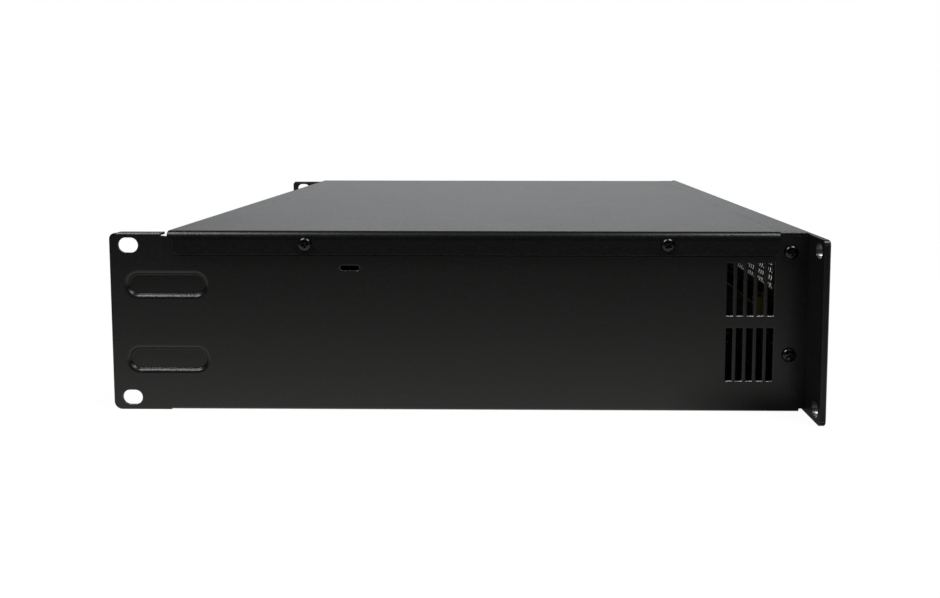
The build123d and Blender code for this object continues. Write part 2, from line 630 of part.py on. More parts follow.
def input_socket(z):
    x, face = INPUT_X, SOCKET_FACE_Y
    body = socket_shell(x, z)
    # ring-shaped entry around the contact block
    body -= rod_y(x, z, 9.7, face - 16, face + 1) - rod_y(x, z, 7.7, face - 17, face - 0.6)
    for hole_x, hole_z in circle_points(x, z, 4.6, 3, -90):
        body -= rod_y(hole_x, hole_z, 1.5, face - 13, face + 1)
    # room for the latch
    body -= block(x - 4.6, x + 4.6, REAR_Y1 - 0.1, face + 1, z + 9.6, z + 14.4)
    return body - block(x - 3.0, x + 3.0, 303.0, face + 1, z + 9.0, z + 11.4)


def input_latch(z):
    x, face = INPUT_X, SOCKET_FACE_Y
    latch = block(x - 4.4, x + 4.4, face - 0.6, face + 2.0, z + 9.8, z + 14.2)
    latch = fillet(latch.edges().sort_by(Axis.Y)[-4:], 0.5)
    return latch + block(x - 2.8, x + 2.8, 306.0, face - 0.5, z + 9.9, z + 11.2)


def link_socket(z):
    x, face = LINK_X, SOCKET_FACE_Y
    body = socket_shell(x, z)
    body -= rod_y(x, z, 9.6, face - 14, face + 1)
    for pin_x, pin_z in circle_points(x, z, 4.6, 3, 90):
        pin = rod_y(pin_x, pin_z, 1.2, face - 14.5, face - 2.5)
        body += fillet(pin.edges().sort_by(Axis.Y)[-1], 0.6)
    return body


def speaker_socket(z):
    x, face = SPEAKER_X, SOCKET_FACE_Y
    body = socket_shell(x, z)
    body += rod_y(x, z, 12.6, REAR_Y1, face + 1.2)
    # ring-shaped entry, centre bore and four edge notches
    body -= rod_y(x, z, 10.6, face - 18, face + 2) - rod_y(x, z, 7.2, face - 19, face - 1.0)
    body -= rod_y(x, z, 3.4, face - 12, face + 2)
    for notch_x, notch_z in circle_points(x, z, 10.6, 4, 45):
        body -= rod_y(notch_x, notch_z, 0.9, face - 4, face + 2)
    return body


def rear_screws():
    places = [(x + dx, SOCKET_FACE_Y, z + dz)
              for _, z in CHANNELS for x in SOCKET_X for dx, dz in SOCKET_SCREWS]
    places += [(INLET_X + side * INLET_SCREW_DX, INLET_FACE_Y, INLET_Z) for side in SIGNS]
    return [aim(pan_screw(head_r=2.6, head_h=1.7, shank_r=1.45, shank_l=7.0, turn=9 + 41 * i),
                place, (0, 1, 0))
            for i, place in enumerate(places)]


# --- binding posts ------------------------------------------------------------
def post_base(x, z):
    base = rod_y(x, z, 7.0, REAR_OUT, REAR_Y1 + 3.0)
    base += rod_y(x, z, 4.0, 308.5, REAR_Y1 + OVERLAP)
    return base - rod_y(x, z, 2.05, 300, 320)


def output_terminal(x, z):
    stud = rod_y(x, z, 2.0, 296, 330.5) + rod_y(x, z, 5.0, REAR_Y1 + 3.02, REAR_Y1 + 4.4)
    return stud + plate_y(Pos(x, z) * RegularPolygon(4.4, 6), 305.0, 308.0)


def post_cap(x, z):
    start, collar_end = REAR_Y1 + 4.6, REAR_Y1 + 6.6
    cap = rod_y(x, z, 6.6, start, REAR_Y1 + 21.0)
    cap = fillet(cap.edges().sort_by(Axis.Y)[-1], 1.2)
    cap += rod_y(x, z, 7.2, start, collar_end)
    for groove_x, groove_z in circle_points(x, z, 6.9, 16):
        cap -= rod_y(groove_x, groove_z, 0.75, collar_end, REAR_Y1 + 19)
    return cap - rod_y(x, z, 2.06, REAR_Y1 + 3, REAR_Y1 + 18.5)


# --- mode switch --------------------------------------------------------------
def mode_switch():
    switch = bar_y(SWITCH_X, 0, 8.0, 25.0, 301, REAR_IN)
    switch -= bar_y(SWITCH_X, 0, 4.0, 10.2, 304, 313)
    for z in (-5, 0, 5):
        switch += bar_y(SWITCH_X, z, 1.2, 0.8, 296, 301.1)
    return switch


def mode_slider():
    slider = bar_y(SWITCH_X, 0, 3.8, 4.8, 304.2, REAR_Y1 + 3.6)
    for z in (-1.4, 0, 1.4):
        slider -= bar_y(SWITCH_X, z, 6, 0.5, REAR_Y1 + 3.0, REAR_Y1 + 4)
    return slider


# --- heatsinks and power devices ----------------------------------------------
def heatsink(face_x, out, tip_x):
    """Upright base with horizontal fins, drilled from below and for its devices."""
    mid_x = face_x - out * SINK_BASE_T / 2
    shape = Pos(mid_x, -2.0) * Rectangle(SINK_BASE_T, 82.0)
    for k in range(13):
        shape += Pos((tip_x + mid_x) / 2, -40.0 + 6.5 * k) * Rectangle(abs(tip_x - mid_x), 1.8)
    body = plate_y(shape, SINK_Y0, SINK_Y1)
    for y in SINK_HOLE_Y:
        body -= rod_z(mid_x, y, 1.8, -50, -36)
    for y in DEVICE_Y:
        ends = sorted((face_x - out * 6, face_x + out * 0.01))
        body -= rod_x(y, DEVICE_HOLE_Z, 1.6, *ends)
    return body


def output_transistor(face_x, out, y):
    x0, x1 = sorted((face_x + out * CLEAR, face_x + out * 4.9))
    device = block(x0, x1, y - 7.8, y + 7.8, -20, 0)
    device -= rod_x(y, DEVICE_HOLE_Z, 1.7, x0 - 1, x1 + 1)
    lead_x = face_x + out * 2.6
    for dy in (-5.4, 0, 5.4):
        device += block(lead_x - 0.35, lead_x + 0.35, y + dy - 0.6, y + dy + 0.6, -31.4, -19.8)
    return device


def device_screw(face_x, out, y):
    screw = pan_screw(head_r=3.0, head_h=2.0, shank_r=1.5, shank_l=9.0, recess=False)
    return aim(screw, (face_x + out * 4.92, y, DEVICE_HOLE_Z), (out, 0, 0))


# --- boards on standoffs ------------------------------------------------------
def board_plate(x0, x1, y0, y1, holes):
    plate = block(x0, x1, y0, y1, BOARD_Z, BOARD_TOP)
    for x, y in holes:
        plate -= rod_z(x, y, 1.7, BOARD_Z - 1, BOARD_Z + 3)
    return plate


def board_ring(x, y):
    """Round component with an open centre, on a board."""
    return rod_z(x, y, 12, BOARD_TOP, BOARD_TOP + 16) - rod_z(x, y, 6, BOARD_TOP + 1, BOARD_TOP + 17)


def amp_board_a():
    board = board_plate(145.4, 210, 134, 284, AMP_A_POSTS)
    board += board_ring(180, 165)
    return board + block(160, 200, 200, 214, BOARD_TOP, BOARD_TOP + 12)


def amp_board_b():
    return board_plate(-100, -25.4, 184, 284, AMP_B_POSTS) + board_ring(-62, 212)


def power_supply_board():
    board = board_plate(70, 210, 44, 133.5, SUPPLY_POSTS)
    return board + block(185, 200, 70, 110, BOARD_TOP, BOARD_TOP + 14)


def reservoir_capacitor(x, y):
    can = rod_z(x, y, 17.5, BOARD_TOP, BOARD_TOP + 50)
    return fillet(can.edges().sort_by(Axis.Z)[-1], 1.5)


def output_relays():
    return [block(x, x + 28, y, y + 12.5, BOARD_TOP, BOARD_TOP + 25)
            for x, y in ((153.0, 236.0), (-80.0, 250.0))]


def board_standoffs():
    hexagon = RegularPolygon(3.6, 6)
    posts = []
    for x, y in FLOOR_POSTS:
        post = extrude(Pos(x, y, FLOOR_Z) * hexagon, amount=BOARD_Z - FLOOR_Z)
        post += rod_z(x, y, 2.28, BOTTOM_Z + CLEAR, FLOOR_Z + OVERLAP)
        posts.append(post - rod_z(x, y, 1.5, BOARD_Z - 7, BOARD_Z + 1))
    for x, z in CONTROL_POSTS:
        post = plate_y(Pos(x, z) * hexagon, SHEET, CONTROL_BOARD_Y0)
        post += rod_y(x, z, 1.58, CLEAR, SHEET + OVERLAP)
        posts.append(post - rod_y(x, z, 1.5, 2.5, 9))
    return posts


def board_screws():
    """Screws of the boards, then those of the power devices."""
    screws = [aim(board_screw(), (x, y, BOARD_TOP), (0, 0, 1)) for x, y in FLOOR_POSTS]
    screws += [aim(board_screw(), (x, CONTROL_BOARD_Y1, z), (0, 1, 0)) for x, z in CONTROL_POSTS]
    for face_x, out, _ in SINKS.values():
        screws += [device_screw(face_x, out, y) for y in DEVICE_Y]
    return screws


# --- power supply -------------------------------------------------------------
def toroid_rod(r, z0, z1):
    """Cylinder on the transformer's axis."""
    return rod_z(TOROID_X, TOROID_Y, r, z0, z1)


def toroidal_transformer():
    core = toroid_rod(TOROID_R, TOROID_Z0, TOROID_TOP)
    core -= toroid_rod(20.0, TOROID_Z0 - 1, TOROID_TOP + 1)
    return fillet(core.edges().filter_by(GeomType.CIRCLE), 9.0)


def transformer_pads():
    lower = toroid_rod(50.0, FLOOR_Z, TOROID_Z0 - CLEAR) - toroid_rod(5, -50, 0)
    upper = toroid_rod(38.0, TOROID_TOP + CLEAR, TOROID_TOP + 2.2) - toroid_rod(16.5, -50, 50)
    return [lower, upper]


def transformer_clamp():
    """Disc with a sunken cup that takes the nut."""
    dish = toroid_rod(37.0, CLAMP_Z, CLAMP_Z + 1.6)
    dish += toroid_rod(15.0, CLAMP_Z - 5.0, CLAMP_Z + OVERLAP)
    dish -= toroid_rod(4.2, 0, 40)
    return dish - toroid_rod(13.5, CLAMP_Z - 3.6, CLAMP_Z + 5)


def transformer_bolt():
    bolt_z = BOTTOM_Z + CLEAR
    stud = toroid_rod(4.0, bolt_z, CLAMP_Z + 9.0) + toroid_rod(6.9, bolt_z, FLOOR_Z - CLEAR)
    nut = extrude(Pos(TOROID_X, TOROID_Y, CLAMP_Z - 3.58) * RegularPolygon(7.5, 6), amount=6.5)
    return [stud, nut - toroid_rod(4.02, 0, 40)]


def bridge_rectifier():
    x, y, half = BRIDGE_X, BRIDGE_Y, 14
    body = block(x - half, x + half, y - half, y + half, FLOOR_Z, -34.0)
    body = chamfer(body.edges().filter_by(Axis.Z), 2.0)
    body -= rod_z(x, y, 2.3, -50, 0)
    for sx, sy in CORNERS:
        tab_x, tab_y = x + 9 * sx, y + 9 * sy
        body += block(tab_x - 3, tab_x + 3, tab_y - 0.4, tab_y + 0.4, -34.1, -24)
    return body


# --- input board and internal wiring ------------------------------------------
def input_board():
    front_y = 284.2
    board = block(-208, -122, front_y, front_y + BOARD_T, -38, 38)
    return board + block(-170, -150, 276.0, front_y, -6, 6)


# cable radius, then the x, y, z points its centre line passes through
CABLES = (
    (1.5, [(176, 278.6, -18.5), (184, 262, -8), (203, 238, 0), (206, 150, 2),
           (205, 60, 4), (198, 36, 0), (190, 29, -8), (187, 26.5, -10)]),
    (1.5, [(190, 278.6, -18.5), (198, 262, -4), (207, 238, 7), (209, 150, 9),
           (208, 60, 11), (199, 38, 8), (190, 30, 4), (187, 26.5, 2)]),
    (1.6, [(-40, 41, -5), (-20, 60, 15), (10, 100, 5), (25, 122, -12), (25, 125, -22.0)]),
    (1.6, [(-62, 41.0, 2), (-10, 38, 25), (30, 88, 20), (43, 118, -5), (43, 125, -22.0)]),
    (2.0, [(-160, 273.0, 0), (-170, 250, -10), (-190, 210, -30), (-196, 120, -36),
           (-190, 60, -36), (-150, 34, -34), (-120, 20, -32), (-112, 12.6, -30)]),
)


def cable(radius, points):
    path = Spline(*points)
    section = Plane(origin=path.position_at(0), z_dir=path.tangent_at(0)) * Circle(radius)
    return sweep(section, path=path)


# --- build and write every piece ----------------------------------------------
save("base_pan", base_pan())
save("top_cover", top_cover())
save("front_frame", front_frame())
save("front_panel", front_panel())
save("front_panel_screws", *front_panel_screws())
save("front_grille", front_grille())

for tag, x in KNOBS:
    save("gain_knob_" + tag, gain_knob(x))
    save("pot_shaft_" + tag, rod_y(x, KNOB_Z, 3.0, -16.8, 5.5))
save("gain_pots", *[gain_pot(x) for _, x in KNOBS])
save("pot_nuts", *[pot_nut(x) for _, x in KNOBS])
save("control_board", control_board())
save("indicator_leds", *[indicator_led(x) for x in LED_X])
save("power_switch_housing", power_switch_housing())
save("power_rocker", power_rocker())
save("case_screws", *case_screws())
save("bottom_screws", *bottom_screws())

save("rear_panel", rear_panel())
for tag, x in FANS:
    save("fan_frame_" + tag, fan_frame(x))
    save("fan_rotor_" + tag, fan_rotor(x))
save("fan_guards", *[fan_guard(x) for _, x in FANS])
save("fan_screws", *[screw for _, x in FANS for screw in fan_screws(x)])
save("mains_inlet", mains_inlet())
save("inlet_pins", *inlet_pins())
save("breaker_body", breaker_body())
save("breaker_button", breaker_button())
save("input_sockets", *[input_socket(z) for _, z in CHANNELS])
save("link_sockets", *[link_socket(z) for _, z in CHANNELS])
save("speaker_sockets", *[speaker_socket(z) for _, z in CHANNELS])
save("rear_screws", *rear_screws())
for tag, z in CHANNELS:
    save("input_latch_" + tag, input_latch(z))
    for x, colour in POSTS:
        save("post_cap_%s_%s" % (tag, colour), post_cap(x, z))
save("post_bases", *[post_base(x, z) for _, z in CHANNELS for x, _ in POSTS])
save("output_terminals", *[output_terminal(x, z) for _, z in CHANNELS for x, _ in POSTS])
save("mode_switch", mode_switch())
save("mode_slider", mode_slider())

for tag, (face_x, out, tip_x) in SINKS.items():
    save("heatsink_" + tag, heatsink(face_x, out, tip_x))
save("output_transistors", *[output_transistor(face_x, out, y)
                             for face_x, out, _ in SINKS.values() for y in DEVICE_Y])
save("amp_board_a", amp_board_a())
save("amp_board_b", amp_board_b())
save("power_supply_board", power_supply_board())
save("reservoir_capacitors", *[reservoir_capacitor(x, y)
                               for x in (97.0, 137.0) for y in (68.0, 109.0)])
save("output_relays", *output_relays())
save("board_standoffs", *board_standoffs())
save("board_screws", *board_screws())

save("toroidal_transformer", toroidal_transformer())
save("transformer_pads", *transformer_pads())
save("transformer_clamp", transformer_clamp())
save("transformer_bolt", *transformer_bolt())
save("bridge_rectifier", bridge_rectifier())
save("input_board", input_board())
save("internal_wiring", *[cable(radius, points) for radius, points in CABLES])
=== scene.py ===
import bpy
import bmesh
import json
import math
from mathutils import Matrix, Vector, noise as mnoise


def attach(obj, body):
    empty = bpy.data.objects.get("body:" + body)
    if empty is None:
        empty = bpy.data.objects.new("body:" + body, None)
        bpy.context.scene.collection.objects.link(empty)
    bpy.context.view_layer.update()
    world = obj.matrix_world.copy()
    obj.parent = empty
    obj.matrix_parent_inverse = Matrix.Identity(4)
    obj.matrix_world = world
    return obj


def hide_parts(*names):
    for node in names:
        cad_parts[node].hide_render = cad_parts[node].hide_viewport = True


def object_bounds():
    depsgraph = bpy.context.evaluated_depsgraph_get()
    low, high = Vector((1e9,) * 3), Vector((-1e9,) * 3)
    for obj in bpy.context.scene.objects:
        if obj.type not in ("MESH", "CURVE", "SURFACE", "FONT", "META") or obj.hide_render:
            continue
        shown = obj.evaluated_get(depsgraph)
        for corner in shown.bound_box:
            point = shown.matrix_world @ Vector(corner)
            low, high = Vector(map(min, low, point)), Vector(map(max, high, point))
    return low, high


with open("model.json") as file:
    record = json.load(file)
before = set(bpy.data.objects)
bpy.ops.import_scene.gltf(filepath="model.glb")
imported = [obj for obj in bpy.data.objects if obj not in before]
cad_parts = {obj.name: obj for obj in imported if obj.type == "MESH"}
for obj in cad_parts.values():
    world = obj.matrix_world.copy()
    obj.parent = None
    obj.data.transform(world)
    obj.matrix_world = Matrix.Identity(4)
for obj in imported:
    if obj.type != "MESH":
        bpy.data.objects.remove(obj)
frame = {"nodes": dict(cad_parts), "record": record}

CAD_BOX = [list(v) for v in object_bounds()]
NODES = frame["nodes"]
COLL = bpy.context.scene.collection
MM = 0.001


# =============================================================================
# materials
# =============================================================================
class Mat:
    """A procedural material: a Principled shader and helpers that feed it."""

    def __init__(self, name):
        self.m = bpy.data.materials.new(name)
        self.m.use_nodes = True
        self.t = self.m.node_tree
        self.t.nodes.clear()
        self.out = self.add("ShaderNodeOutputMaterial")
        self.bsdf = self.add("ShaderNodeBsdfPrincipled")
        self.t.links.new(self.bsdf.outputs[0], self.out.inputs[0])
        self.co = self.add("ShaderNodeTexCoord").outputs["Object"]

    def add(self, kind, **kw):
        n = self.t.nodes.new(kind)
        for k, v in kw.items():
            setattr(n, k, v)
        return n

    def put(self, sock, value):
        if isinstance(value, bpy.types.NodeSocket):
            self.t.links.new(value, sock)
        elif isinstance(value, (tuple, list)) and len(value) == 3 and sock.type == "RGBA":
            sock.default_value = (*value, 1.0)
        else:
            sock.default_value = value

    def set(self, **kw):
        names = {"color": "Base Color", "metal": "Metallic", "rough": "Roughness", "spec": "Specular IOR Level",
                 "normal": "Normal", "ior": "IOR", "coat": "Coat Weight", "coat_rough": "Coat Roughness",
                 "trans": "Transmission Weight", "aniso": "Anisotropic", "emit": "Emission Color",
                 "emit_strength": "Emission Strength", "sub": "Subsurface Weight", "tangent": "Tangent",
                 "alpha": "Alpha"}
        for k, v in kw.items():
            self.put(self.bsdf.inputs[names[k]], v)
        return self

    def noise(self, scale, detail=3.0, rough=0.5, co=None, stretch=None, distortion=0.0):
        co = co or self.co
        if stretch:
            mp = self.add("ShaderNodeMapping")
            mp.inputs["Scale"].default_value = stretch
            self.put(mp.inputs["Vector"], co)
            co = mp.outputs[0]
        n = self.add("ShaderNodeTexNoise")
        self.put(n.inputs["Vector"], co)
        n.inputs["Scale"].default_value = scale
        n.inputs["Detail"].default_value = detail
        n.inputs["Roughness"].default_value = rough
        n.inputs["Distortion"].default_value = distortion
        return n.outputs["Fac"]

    def cells(self, scale, feature="F1", co=None):
        n = self.add("ShaderNodeTexVoronoi", feature=feature)
        self.put(n.inputs["Vector"], co or self.co)
        n.inputs["Scale"].default_value = scale
        return n.outputs["Distance"]

    def remap(self, v, a, b, c, d, smooth=False):
        n = self.add("ShaderNodeMapRange", interpolation_type="SMOOTHSTEP" if smooth else "LINEAR")
        self.put(n.inputs["Value"], v)
        for k, x in zip(("From Min", "From Max", "To Min", "To Max"), (a, b, c, d)):
            n.inputs[k].default_value = x
        return n.outputs["Result"]

    def mix(self, fac, a, b, blend="MIX"):
        n = self.add("ShaderNodeMix", data_type="RGBA", blend_type=blend)
        self.put(n.inputs[0], fac)
        self.put(n.inputs[6], a if isinstance(a, bpy.types.NodeSocket) else (*a[:3], 1.0))
        self.put(n.inputs[7], b if isinstance(b, bpy.types.NodeSocket) else (*b[:3], 1.0))
        return n.outputs[2]

    def calc(self, op, a, b=0.0, c=0.0, clamp=False):
        n = self.add("ShaderNodeMath", operation=op, use_clamp=clamp)
        for i, v in enumerate((a, b, c)):
            self.put(n.inputs[i], v)
        return n.outputs[0]

    def xyz(self, co=None):
        n = self.add("ShaderNodeSeparateXYZ")
        self.put(n.inputs[0], co or self.co)
        return n.outputs

    def bevel(self, radius, samples=4):
        n = self.add("ShaderNodeBevel", samples=samples)
        n.inputs["Radius"].default_value = radius
        return n.outputs[0]

    def edge(self, radius, lo=0.0, hi=0.25):
        """0 on flats, 1 on edges: how far a rounded normal leans from the true one."""
        dot = self.add("ShaderNodeVectorMath", operation="DOT_PRODUCT")
        self.put(dot.inputs[0], self.bevel(radius))
        self.put(dot.inputs[1], self.add("ShaderNodeNewGeometry").outputs["Normal"])
        return self.remap(self.calc("SUBTRACT", 1.0, dot.outputs["Value"]), lo, hi, 0.0, 1.0)

    def bump(self, height, strength, distance, normal=None):
        n = self.add("ShaderNodeBump")
        n.inputs["Strength"].default_value = strength
        n.inputs["Distance"].default_value = distance
        self.put(n.inputs["Height"], height)
        if normal is not None:
            self.put(n.inputs["Normal"], normal)
        return n.outputs[0]


def powder(name, base, rough=0.46, spec=0.35, grain=1100.0, bump=0.28, bev=0.0003, wear=0.25, warm=0.0, lip_shade_z=None, rim=0.0, bend=None):
    """Textured powder coat: fine pimpled film over sheet metal, a little thinner and paler on the edges."""
    g = Mat(name)
    fine = g.noise(grain, 3.0, 0.55)
    peel = g.noise(grain * 0.42, 2.0, 0.5)
    broad = g.noise(11.0, 4.0, 0.6)
    smudge = g.noise(38.0, 5.0, 0.65, distortion=0.6)
    speck = g.noise(grain * 0.62, 2.0, 0.6)
    c = g.mix(g.remap(broad, 0.3, 0.7, 0, 1), [x * 0.95 for x in base], [x * 1.05 for x in base])
    c = g.mix(g.remap(speck, 0.35, 0.70, 0, 1.0), [x * 0.72 for x in base], c)
    c = g.mix(g.remap(fine, 0.55, 0.78, 0, 0.5), c, [x * 2.2 + 0.002 for x in base])
    if wear:
        e = g.calc("MULTIPLY", g.edge(0.00035), g.remap(g.noise(240.0, 3.0), 0.35, 0.65, 0.3, 1.0))
        c = g.mix(g.calc("MULTIPLY", e, wear), c, (0.16, 0.155, 0.15))
    height = g.calc("ADD", fine, g.calc("MULTIPLY", peel, 0.8))
    r = g.calc("ADD", g.remap(fine, 0.3, 0.7, rough - 0.05, rough + 0.05), g.remap(smudge, 0.35, 0.7, -0.006, 0.008))
    if rim:
        # rims of the pressed openings, rubbed smooth
        spec = g.calc("ADD", spec, g.calc("MULTIPLY", g.edge(0.00045), rim))
    if bend is not None:
        # film stretched and duller along the outside of the cover's bends
        px, py, pz = g.xyz()
        out = g.remap(g.calc("ABSOLUTE", px), bend[0], bend[0] + 0.0006, 0.0, 1.0)
        up = g.remap(pz, bend[1], bend[1] + 0.0006, 0.0, 1.0)
        spec = g.calc("MULTIPLY", spec, g.calc("SUBTRACT", 1.0, g.calc("MULTIPLY", g.calc("MULTIPLY", out, up), bend[2])))
    if lip_shade_z is not None:
        # painted shade: a near-black line with less sheen on the walls, just under the cover's lips where they meet the
        # walls
        px, py, pz = g.xyz()
        away = g.calc("ABSOLUTE", g.calc("SUBTRACT", pz, lip_shade_z))
        wall = g.calc("GREATER_THAN", g.calc("ABSOLUTE", px), 0.2145)
        span = g.calc("MULTIPLY", g.calc("GREATER_THAN", py, 0.017), g.calc("LESS_THAN", py, 0.309))
        line = g.calc("MULTIPLY", g.remap(away, 0.00028, 0.00040, 1.0, 0.0), g.calc("MULTIPLY", wall, span))
        c = g.mix(line, c, (0.001, 0.001, 0.001))
        spec = g.calc("MULTIPLY", g.calc("SUBTRACT", 1.0, g.calc("MULTIPLY", line, 0.85)), spec)
    g.set(color=c, rough=r, spec=spec, normal=g.bump(height, bump, 0.00012, g.bevel(bev)))
    return g.m


def plastic(name, base, rough=0.4, spec=0.5, grain=2600.0, bump=0.12, bev=0.00025, wear=0.15, sub=0.0, vary=0.12):
    """Moulded plastic with spark-eroded texture, slightly shinier on rubbed edges."""
    g = Mat(name)
    fine = g.noise(grain, 2.0, 0.5)
    broad = g.noise(30.0, 3.0, 0.6)
    c = g.mix(g.remap(broad, 0.3, 0.7, 0, 1), [x * (1 - vary) for x in base], [min(1, x * (1 + vary)) for x in base])
    e = g.edge(0.0004)
    r = g.calc("SUBTRACT", g.remap(fine, 0.3, 0.7, rough - 0.05, rough + 0.06), g.calc("MULTIPLY", e, wear * 0.5))
    c = g.mix(g.calc("MULTIPLY", e, wear), c, [min(1, x * 1.5 + 0.03) for x in base])
    g.set(color=c, rough=r, spec=spec, sub=sub, normal=g.bump(fine, bump, 0.00005, g.bevel(bev)))
    return g.m


def metal(name, base, rough=0.3, stretch=None, scale=900.0, bump=0.08, bev=0.00022, tint=0.1, spots=0.0):
    """Plated or plain metal with a drawn or tumbled surface."""
    g = Mat(name)
    lines = g.noise(scale, 3.0, 0.6, stretch=stretch)
    broad = g.noise(45.0, 4.0, 0.6)
    c = g.mix(g.remap(broad, 0.3, 0.7, 0, 1), [x * (1 - tint) for x in base], [min(1, x * (1 + tint)) for x in base])
    if spots:
        v = g.remap(g.cells(420.0), 0.0, 0.6, 0.0, 1.0)
        c = g.mix(g.calc("MULTIPLY", v, spots), c, [x * 0.72 for x in base])
    r = g.calc("ADD", g.remap(lines, 0.3, 0.7, rough - 0.07, rough + 0.09), g.remap(broad, 0.3, 0.7, -0.03, 0.05))
    g.set(color=c, metal=1.0, rough=r, normal=g.bump(lines, bump, 0.00004, g.bevel(bev)))
    return g.m


def pcb(name, base=(0.02, 0.11, 0.05)):
    """Solder-masked board: weave below the mask, paler copper tracks and plated pads."""
    g = Mat(name)
    x, y, z = g.xyz()
    weave = g.calc("MULTIPLY", g.calc("SINE", g.calc("MULTIPLY", x, 5200.0)), g.calc("SINE", g.calc("MULTIPLY", y, 5200.0)))
    tracks = g.add("ShaderNodeTexBrick", offset=0.35, squash=0.6)
    g.put(tracks.inputs["Vector"], g.co)
    tracks.inputs["Scale"].default_value = 110.0
    tracks.inputs["Mortar Size"].default_value = 0.045
    pads = g.remap(g.cells(230.0), 0.10, 0.16, 1.0, 0.0)
    c = g.mix(g.remap(g.noise(60.0), 0.3, 0.7, 0, 1), [v * 0.8 for v in base], [v * 1.25 for v in base])
    c = g.mix(g.calc("MULTIPLY", tracks.outputs["Fac"], 0.55), c, [min(1, v * 2.4 + 0.01) for v in base])
    c = g.mix(g.calc("MULTIPLY", pads, 0.8), c, (0.62, 0.60, 0.55))
    g.set(color=c, metal=g.calc("MULTIPLY", pads, 0.8), rough=g.remap(weave, -1, 1, 0.26, 0.36),
          normal=g.bump(g.calc("ADD", weave, tracks.outputs["Fac"]), 0.08, 0.00004))
    return g.m


def lens(name, base, glow=0.0):
    """Diffused LED resin."""
    g = Mat(name)
    n = g.noise(900.0, 2.0)
    c = g.mix(g.remap(n, 0.3, 0.7, 0, 1), [x * 0.85 for x in base], [min(1, x * 1.1) for x in base])
    g.set(color=c, rough=g.remap(n, 0.3, 0.7, 0.14, 0.22), trans=0.35, sub=0.2, ior=1.52,
          normal=g.bump(n, 0.05, 0.00003))
    if glow:
        g.set(emit=tuple(base), emit_strength=glow)
    return g.m


def film(name, base, pitch=430.0):
    """Overlapping turns of polyester film over copper windings."""
    g = Mat(name)
    x, y, z = g.xyz()
    ang = g.calc("ARCTAN2", g.calc("SUBTRACT", y, 0.102), g.calc("ADD", x, 0.085))
    wrap = g.calc("SINE", g.calc("MULTIPLY", ang, 58.0))
    c = g.mix(g.remap(wrap, -1, 1, 0, 1), [v * 0.75 for v in base], base)
    c = g.mix(g.remap(g.noise(80.0, 4.0), 0.4, 0.7, 0, 0.5), c, (0.55, 0.22, 0.07))
    g.set(color=c, rough=g.remap(g.noise(300.0), 0.3, 0.7, 0.22, 0.38), spec=0.5, coat=0.4,
          normal=g.bump(wrap, 0.5, 0.0004))
    return g.m


BLACK = powder("powder_case", (0.0045, 0.0045, 0.0045), rough=0.32, spec=0.32)
# the pan carries a painted shade line on its walls just under the cover's lips
BLACK_PAN = powder("powder_pan", (0.0045, 0.0045, 0.0045), rough=0.32, spec=0.32, lip_shade_z=0.03340, wear=0.5, rim=0.5)
# lighter, glossier copy of the black powder: a painted highlight for rims that catch the overhead light
PAINTED_RIM_HIGHLIGHT = powder("powder_rim_painted_highlight", (0.030, 0.030, 0.030), rough=0.27, spec=0.95, bump=0.12)
BLACK_COVER = powder("powder_cover", (0.0045, 0.0045, 0.0045), rough=0.32, spec=0.32, bend=(0.2122, 0.0405, 0.5))
PANEL = powder("powder_panel", (0.0032, 0.0032, 0.0034), rough=0.38, spec=0.24, grain=1300.0)
INNER = metal("zinc_inner", (0.50, 0.50, 0.48), rough=0.36, scale=500.0, spots=0.5)
GRILLE = powder("powder_grille", (0.011, 0.011, 0.011), rough=0.42, spec=0.35, bev=0.00012)
SCREW = metal("black_zinc", (0.032, 0.032, 0.034), rough=0.24, scale=1600.0, bump=0.12, bev=0.00012)
ZINC = metal("bright_zinc", (0.62, 0.62, 0.58), rough=0.30, scale=900.0, spots=0.25)
NICKEL = metal("satin_nickel", (0.63, 0.61, 0.57), rough=0.24, scale=1500.0)
CHROME = metal("wire_chrome", (0.70, 0.70, 0.69), rough=0.14, scale=1800.0, bump=0.04)
GOLD = metal("contact_gold", (0.85, 0.62, 0.25), rough=0.2, scale=1500.0)
BRASS = metal("shaft_metal", (0.66, 0.58, 0.40), rough=0.3, scale=1500.0, stretch=(1, 1, 1))
ALU = metal("sink_alu", (0.72, 0.73, 0.74), rough=0.33, stretch=(1.0, 0.02, 1.0), scale=1300.0, bump=0.2)
KNOB = plastic("knob_satin", (0.018, 0.018, 0.019), rough=0.38, spec=0.45)
PLASTIC = plastic("black_moulding", (0.016, 0.016, 0.017), rough=0.42, spec=0.4)
FANBLACK = plastic("fan_moulding", (0.014, 0.014, 0.015), rough=0.36, spec=0.45)
GLOSS = plastic("black_gloss", (0.012, 0.012, 0.012), rough=0.14, spec=0.5, grain=700.0, bump=0.03)
RED = plastic("post_red", (0.46, 0.012, 0.012), rough=0.2, spec=0.5, grain=800.0, bump=0.04, sub=0.05)
WHITE = plastic("white_moulding", (0.66, 0.66, 0.63), rough=0.4, spec=0.45, sub=0.05)
PRINT = plastic("print_white", (0.62, 0.62, 0.60), rough=0.55, spec=0.3, grain=3200.0, bev=0.00002, wear=0.0)
DEVICE = plastic("epoxy", (0.022, 0.022, 0.024), rough=0.5, spec=0.4)
SLEEVE = plastic("cap_sleeve", (0.012, 0.016, 0.04), rough=0.22, spec=0.5, grain=600.0, bump=0.05)
RELAY = plastic("relay_case", (0.03, 0.05, 0.14), rough=0.35, spec=0.45)
RUBBER = plastic("rubber", (0.012, 0.012, 0.012), rough=0.75, spec=0.3, grain=1200.0, bump=0.3)
WIRE = plastic("wire_red", (0.18, 0.012, 0.010), rough=0.35, spec=0.45)
YELLOW = plastic("film_cap_yellow", (0.78, 0.62, 0.13), rough=0.3, spec=0.5)
YELLOW_DULL = plastic("film_cap_dull", (0.22, 0.18, 0.05), rough=0.4, spec=0.3)
